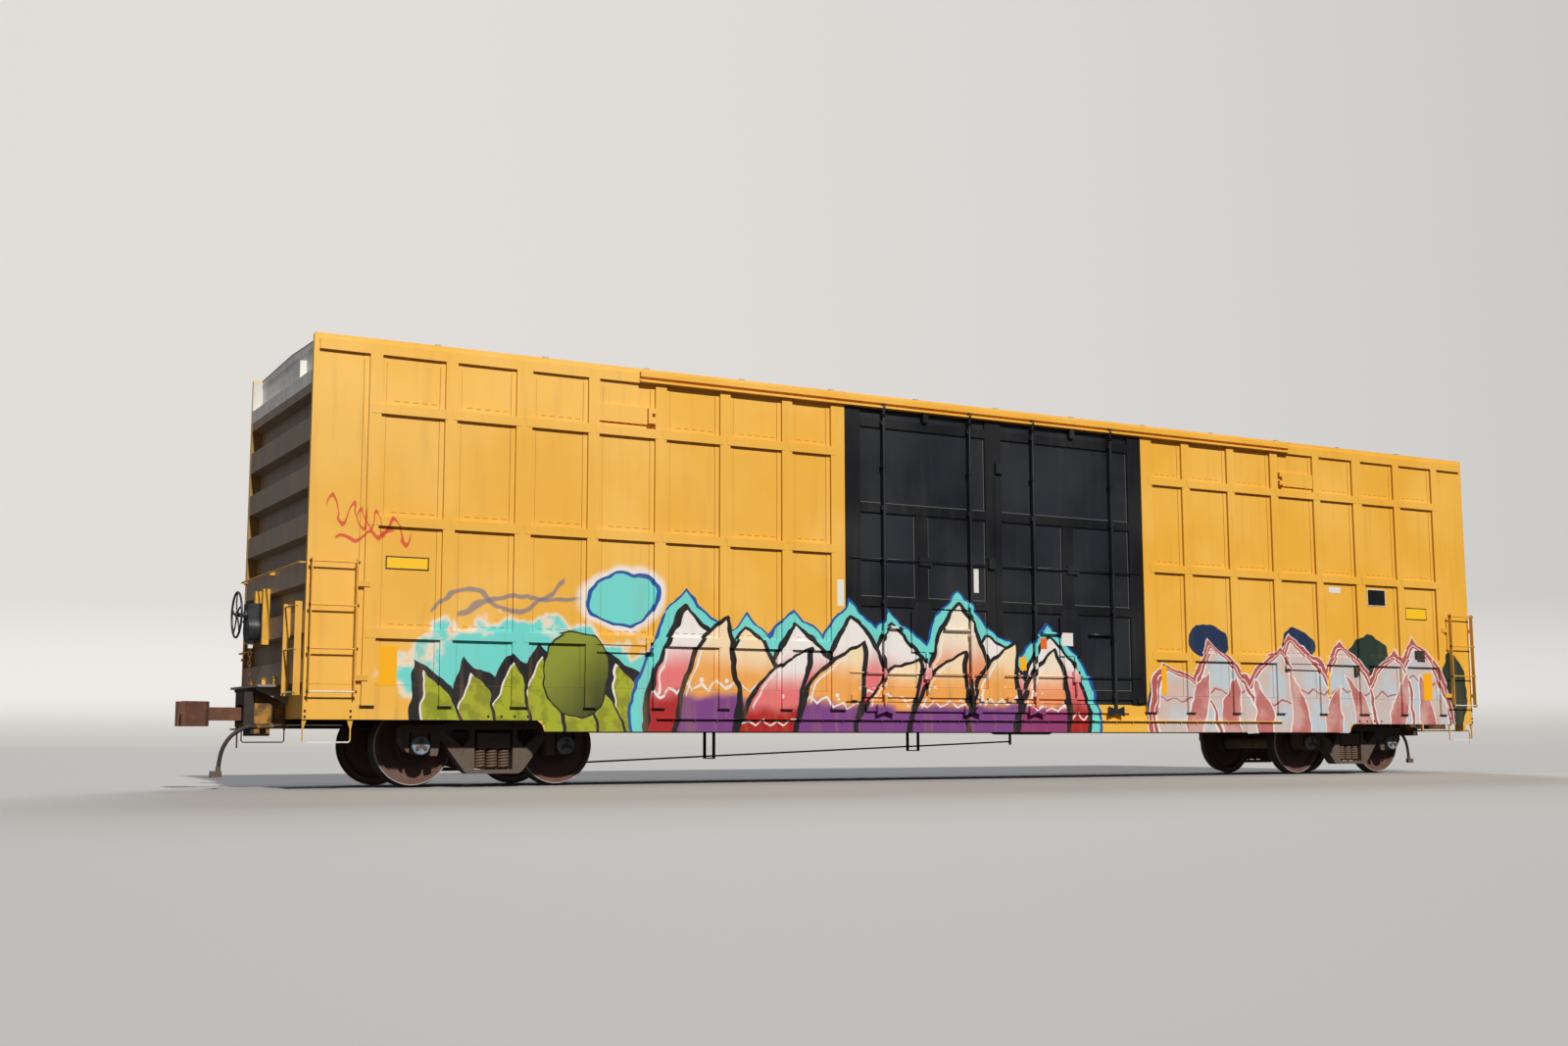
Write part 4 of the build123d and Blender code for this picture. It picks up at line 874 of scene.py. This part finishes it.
def make_door_gear():
    """Rods, latch boxes, hangers and foot gear on the doors of both sides."""
    mesh = bmesh.new()
    for side in (-1, 1):
        def spot(x, y, h):
            return Vector((-side * x, side * y, up(h)))

        for height, left, right in ((2.860, -2.44, 2.44), (1.375, -2.44, 2.44)):
            add_tube(mesh, (spot(left, 1.558, height), spot(-0.26, 1.558, height)), 0.010, 8)
            add_tube(mesh, (spot(0.03, 1.558, height), spot(right, 1.558, height)), 0.010, 8)
        for left, right in ((-1.93, -1.60), (-0.97, -0.545), (0.65, 1.00), (1.49, 1.93)):
            add_tube(mesh, (spot(left, 1.560, 1.967), spot(right, 1.560, 1.967)), 0.017, 8)
        for x in (-1.25, 1.234):
            plate = spot(x - 0.10, DOOR_FACE - 0.01, 2.800)
            add_block(mesh, plate, spot(x + 0.10, DOOR_FACE + 0.012, 2.915))
            add_block(mesh, spot(x - 0.05, DOOR_FACE, 1.30), spot(x + 0.05, DOOR_FACE + 0.05, 1.45))
            add_tube(mesh, (spot(x, 1.567, 1.10), spot(x, 1.567, 1.66)), 0.014, 8)
            add_block(mesh, spot(x - 0.04, DOOR_FACE, 4.72), spot(x + 0.04, 1.596, 4.86))
        for x in (-2.38, -0.35, 0.10, 2.38):
            add_block(mesh, spot(x - 0.045, DOOR_FACE, 1.02), spot(x + 0.045, 1.575, 1.09))
        for x in LOCK_PIPES:
            for height in (1.9, 2.86, 4.08):
                bracket = spot(x - 0.032, DOOR_FACE, height - 0.02)
                add_block(mesh, bracket, spot(x + 0.032, 1.614, height + 0.02))
            hook = [
                spot(x, 1.590, 4.74), spot(x, 1.590, 4.80), spot(x, 1.600, 4.86), spot(x, 1.604, 4.91),
            ]
            add_tube(mesh, hook, 0.024, 8)
    return make_piece("door_gear", mesh, "car_body", "black")


def make_frames():
    """Thin pale grey lines round the door panels."""
    mesh = bmesh.new()
    panels = [(0.013, 2.261, 3.590, 4.601), (-2.261, -0.253, 3.590, 4.601)]
    for low, high in ((1.183, 2.240), (2.360, 3.470)):
        panels += [(left, right, low, high) for left, right in DOOR_BAYS]
    for side in (-1, 1):
        for left, right, low, high in panels:
            edges = (
                (left + 0.010, left + 0.015, low, high), (right - 0.015, right - 0.010, low, high),
                (left, right, low + 0.010, low + 0.015), (left, right, high - 0.015, high - 0.010),
            )
            for x0, x1, z0, z1 in edges:
                first = (-side * x0, side * SHEET_FACE, up(z0))
                add_block(mesh, first, (-side * x1, side * (SHEET_FACE + 0.002), up(z1)))
    return make_piece("door_panel_edges", mesh, "car_body", "grey")


# Flat plates on the right side: finish, face, and left, right, bottom and top edges
PLATES = {
    "placard_borders": (
        "ink", SHEET_FACE + 0.003,
        [(-8.52, -8.02, 2.42, 2.57), (7.93, 8.41, 2.39, 2.58)],
    ),
    "placards": (
        "placard", SHEET_FACE + 0.004,
        [(-8.505, -8.035, 2.435, 2.555), (7.945, 8.395, 2.405, 2.565)],
    ),
    "side_reflectors": (
        "reflector", SHEET_FACE + 0.003,
        [
            (-8.58, -8.36, 1.12, 1.56), (8.27, 8.47, 1.12, 1.55),
            (2.827, 2.923, 1.15, 1.56), (6.12, 6.20, 1.15, 1.55),
        ],
    ),
    "door_reflectors": ("reflector", SHEET_FACE + 0.002, [(0.30, 0.41, 1.45, 1.63)]),
    "door_labels": ("orange", SHEET_FACE + 0.002, [(0.66, 0.77, 1.75, 1.90)]),
    "post_white": ("white", POST_FACE + 0.002, [(-2.63, -2.53, 2.22, 2.56)]),
    "door_white": ("white", DOOR_FACE + 0.008, [(1.00, 1.20, 1.80, 1.98)]),
    "side_white": ("white", SHEET_FACE + 0.003, [(6.25, 6.50, 2.75, 2.84), (-0.45, -0.37, 2.48, 2.80)]),
    "board_border": ("white", SHEET_FACE + 0.010, [(7.08, 7.48, 2.58, 2.84)]),
    "routing_board": ("black", SHEET_FACE + 0.011, [(7.09, 7.47, 2.59, 2.83)]),
}


def make_labels():
    """Blank placards and labels, and two small boxes, on the right side."""
    for name, (finish, face, spots) in PLATES.items():
        mesh = bmesh.new()
        for left, right, low, high in spots:
            add_block(mesh, (left, -face, up(low)), (right, -face + 0.012, up(high)))
        make_piece(name, mesh, "car_body", finish)
    mesh = bmesh.new()
    add_block(mesh, (8.10, -SHEET_FACE - 0.045, up(1.72)), (8.28, -SHEET_FACE, up(1.90)))
    add_block(mesh, (6.72, -SHEET_FACE - 0.035, up(1.48)), (6.80, -SHEET_FACE, up(1.62)))
    make_piece("small_side_boxes", mesh, "car_body", "dark_steel")
    mesh = bmesh.new()
    add_block(mesh, (-9.23, -0.72, up(4.66)), (-9.345, -0.375, up(4.87)))
    make_piece("end_box", mesh, "car_body", "white")


def make_springs(letter, truck_x):
    """Coil springs in place of the plain solids of one truck."""
    mesh = bmesh.new()
    low, high = up(0.178), up(0.430)
    turns = 6.5
    steps = 16
    for side in (-1, 1):
        for x in (-0.148, 0.0, 0.148):
            for radius, bar, hand in ((0.0560, 0.0160, 1), (0.028, 0.009, -1)):
                points = []
                for i in range(int(turns * steps) + 1):
                    angle = hand * 2 * math.pi * i / steps
                    rise = low + bar + (high - low - 2 * bar) * i / (turns * steps)
                    along = truck_x + x + radius * math.cos(angle)
                    across = side * JOURNAL_Y + radius * math.sin(angle)
                    points.append((along, across, rise))
                add_tube(mesh, points, bar, 8)
    coils = make_piece(f"coil_springs_{letter}", mesh, f"truck_{letter}", "spring")
    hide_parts(f"springs_{letter}")


def make_cap_bolts(number, x, body):
    """Three bolts on each bearing cap of one wheelset."""
    mesh = bmesh.new()
    for side in (-1, 1):
        for turn in (90, 210, 330):
            a = math.radians(turn)
            start = Vector((x + 0.055 * math.cos(a), side * CAP_FACE, AXLE_Z + 0.055 * math.sin(a)))
            add_tube(mesh, (start, start + Vector((0, side * 0.018, 0))), 0.023, 6)
        hub = Vector((x, side * CAP_FACE, AXLE_Z))
        add_tube(mesh, (hub, hub + Vector((0, side * 0.006, 0))), 0.030, 12)
    make_piece(f"cap_bolts_{number}", mesh, body, "spring")


def make_brake_chain():
    """Chain from the hand brake's drum down to its rod, with a clevis and a turnbuckle."""
    mesh = bmesh.new()
    x, y = -9.545, 0.43
    for link in range(9):
        middle = up(1.575) - 0.052 * link
        turned = link % 2
        points = []
        for k in range(12):
            a = 2 * math.pi * k / 12
            reach, rise = 0.016 * math.cos(a), 0.036 * math.sin(a)
            points.append((x + turned * reach, y + (1 - turned) * reach, middle + rise))
        add_tube(mesh, points, 0.007, 6, closed=True)
    add_tube(mesh, ((x, y, up(1.68)), (x, y, up(1.60))), 0.012, 8)
    add_tube(mesh, ((x, y, up(1.15)), (x, y, up(0.98))), 0.014, 8)
    add_block(mesh, (x - 0.022, y - 0.022, up(1.02)), (x + 0.022, y + 0.022, up(1.13)))
    add_tube(mesh, ((x, y, up(0.98)), (x + 0.30, y - 0.20, up(0.80))), 0.014, 8)
    make_piece("brake_chain", mesh, "car_body", "coupler")
    mesh = bmesh.new()
    add_block(mesh, (x - 0.026, y - 0.026, up(1.60)), (x + 0.026, y + 0.026, up(1.68)))
    make_piece("brake_clevis", mesh, "car_body", "white")


def make_platform_tabs():
    """Upright tabs between the platform and the lowest bar of the B end."""
    mesh = bmesh.new()
    for y in (-0.28, 0.29, 0.86):
        add_block(mesh, (-END_FACE, y - 0.004, up(1.150)), (-END_FACE - 0.040, y + 0.004, up(1.245)))
        add_block(mesh, (-END_FACE, y - 0.022, up(1.240)), (-END_FACE - 0.050, y + 0.022, up(1.246)))
    make_piece("platform_tabs", mesh, "car_body", "hardware")


make_bolts()
make_post_foot_shadows()
make_seams()
make_sill_paint()
make_door_gear()
make_frames()
make_labels()
make_brake_chain()
make_platform_tabs()
for letter, truck_x in (("b", -TRUCK_X), ("a", TRUCK_X)):
    make_springs(letter, truck_x)
axle_places = [end * TRUCK_X + half * WHEELBASE / 2 for end in (-1, 1) for half in (-1, 1)]
for number, x in enumerate(axle_places, start=1):
    make_cap_bolts(number, x, f"wheelset_{number}")


# Stage: a floor with a curved edge and an upright backdrop, which glows a little
FLOOR_COLOUR = (0.46, 0.45, 0.44)
GLOW_COLOUR = (0.94, 0.96, 1.0, 1)
GLOW = 0.28
GLOW_HEIGHT = 5.0


def make_stage():
    """A plain floor that curves up into a backdrop all round."""
    reach = 140.0
    sweep = 14.0
    height = 120.0
    rings = [(reach, 0.0)]
    rings += [
        (reach + sweep * math.sin(turn), sweep * (1 - math.cos(turn)))
        for turn in [math.radians(6 * step) for step in range(1, 16)]
    ]
    rings.append((reach + sweep, height))
    sides = 96
    mesh = bmesh.new()
    loops = []
    for radius, level in rings:
        loops.append([
            mesh.verts.new((radius * math.cos(a), radius * math.sin(a), level))
            for a in [2 * math.pi * i / sides for i in range(sides)]
        ])
    mesh.faces.new(loops[0])
    for inner, outer in zip(loops, loops[1:]):
        for i in range(sides):
            j = (i + 1) % sides
            mesh.faces.new((inner[i], outer[i], outer[j], inner[j]))
    data = bpy.data.meshes.new("studio_floor")
    mesh.to_mesh(data)
    mesh.free()
    data.polygons.foreach_set("use_smooth", [True] * len(data.polygons))
    floor = bpy.data.objects.new("studio_floor", data)
    bpy.context.scene.collection.objects.link(floor)
    s = Shading("studio_floor", FLOOR_COLOUR, 0.9)
    s.shader.inputs["Emission Color"].default_value = GLOW_COLOUR
    s.feed(s.shader.inputs["Emission Strength"], s.span(s.axes()[2], 0.0, GLOW_HEIGHT, 0.0, GLOW))
    s.material.cycles.emission_sampling = "NONE"
    data.materials.append(s.material)
    floor.visible_shadow = False
    floor.visible_diffuse = False
    floor.visible_glossy = False


def add_sun(name, energy, azimuth, elevation, angle, colour):
    """Add a sun. Its azimuth is in degrees from -Y towards +X."""
    data = bpy.data.lights.new(name, "SUN")
    data.energy = energy
    data.angle = math.radians(angle)
    data.color = colour
    sun = bpy.data.objects.new(name, data)
    turn = math.radians(azimuth)
    towards = Vector((math.sin(turn), -math.cos(turn), math.tan(math.radians(elevation))))
    sun.rotation_mode = "QUATERNION"
    sun.rotation_quaternion = towards.to_track_quat("Z", "Y")
    bpy.context.scene.collection.objects.link(sun)


# Light from below and from above, and how much stronger it is towards the B end
GROUND_LIGHT = (0.055, 0.050, 0.044, 1)
SKY_LIGHT = (0.100, 0.114, 0.138, 1)
END_LIGHT = (3.0, 2.9, 2.6, 1)


def make_light():
    """Afternoon sun on the right side, a weak light on the far side, and a pale blue surround."""
    world = bpy.data.worlds.new("studio")
    world.use_nodes = True
    nodes = world.node_tree.nodes
    links = world.node_tree.links
    place = nodes.new("ShaderNodeTexCoord")
    parts = nodes.new("ShaderNodeSeparateXYZ")
    links.new(place.outputs["Generated"], parts.inputs[0])
    ramp = nodes.new("ShaderNodeValToRGB")
    ramp.color_ramp.elements[0].position = 0.0
    ramp.color_ramp.elements[0].color = GROUND_LIGHT
    ramp.color_ramp.elements[1].position = 0.1
    ramp.color_ramp.elements[1].color = SKY_LIGHT
    links.new(parts.outputs["Z"], ramp.inputs[0])
    side = nodes.new("ShaderNodeMapRange")
    side.interpolation_type = "SMOOTHSTEP"
    for socket, value in ((1, -0.25), (2, -0.85), (3, 0.0), (4, 1.0)):
        side.inputs[socket].default_value = value
    links.new(parts.outputs["X"], side.inputs[0])
    bright = nodes.new("ShaderNodeMix")
    bright.data_type = "RGBA"
    bright.blend_type = "MULTIPLY"
    bright.inputs[7].default_value = END_LIGHT
    links.new(side.outputs[0], bright.inputs[0])
    links.new(ramp.outputs[0], bright.inputs[6])
    links.new(bright.outputs[2], nodes["Background"].inputs[0])
    bpy.context.scene.world = world
    add_sun("key", 3.62, azimuth=-5.0, elevation=36.5, angle=2.0, colour=(1.0, 0.95, 0.87))
    add_sun("far_fill", 1.5, azimuth=150.0, elevation=35.0, angle=25.0, colour=(0.92, 0.96, 1.0))
    bpy.context.scene.view_settings.view_transform = "Standard"


make_stage()
make_light()
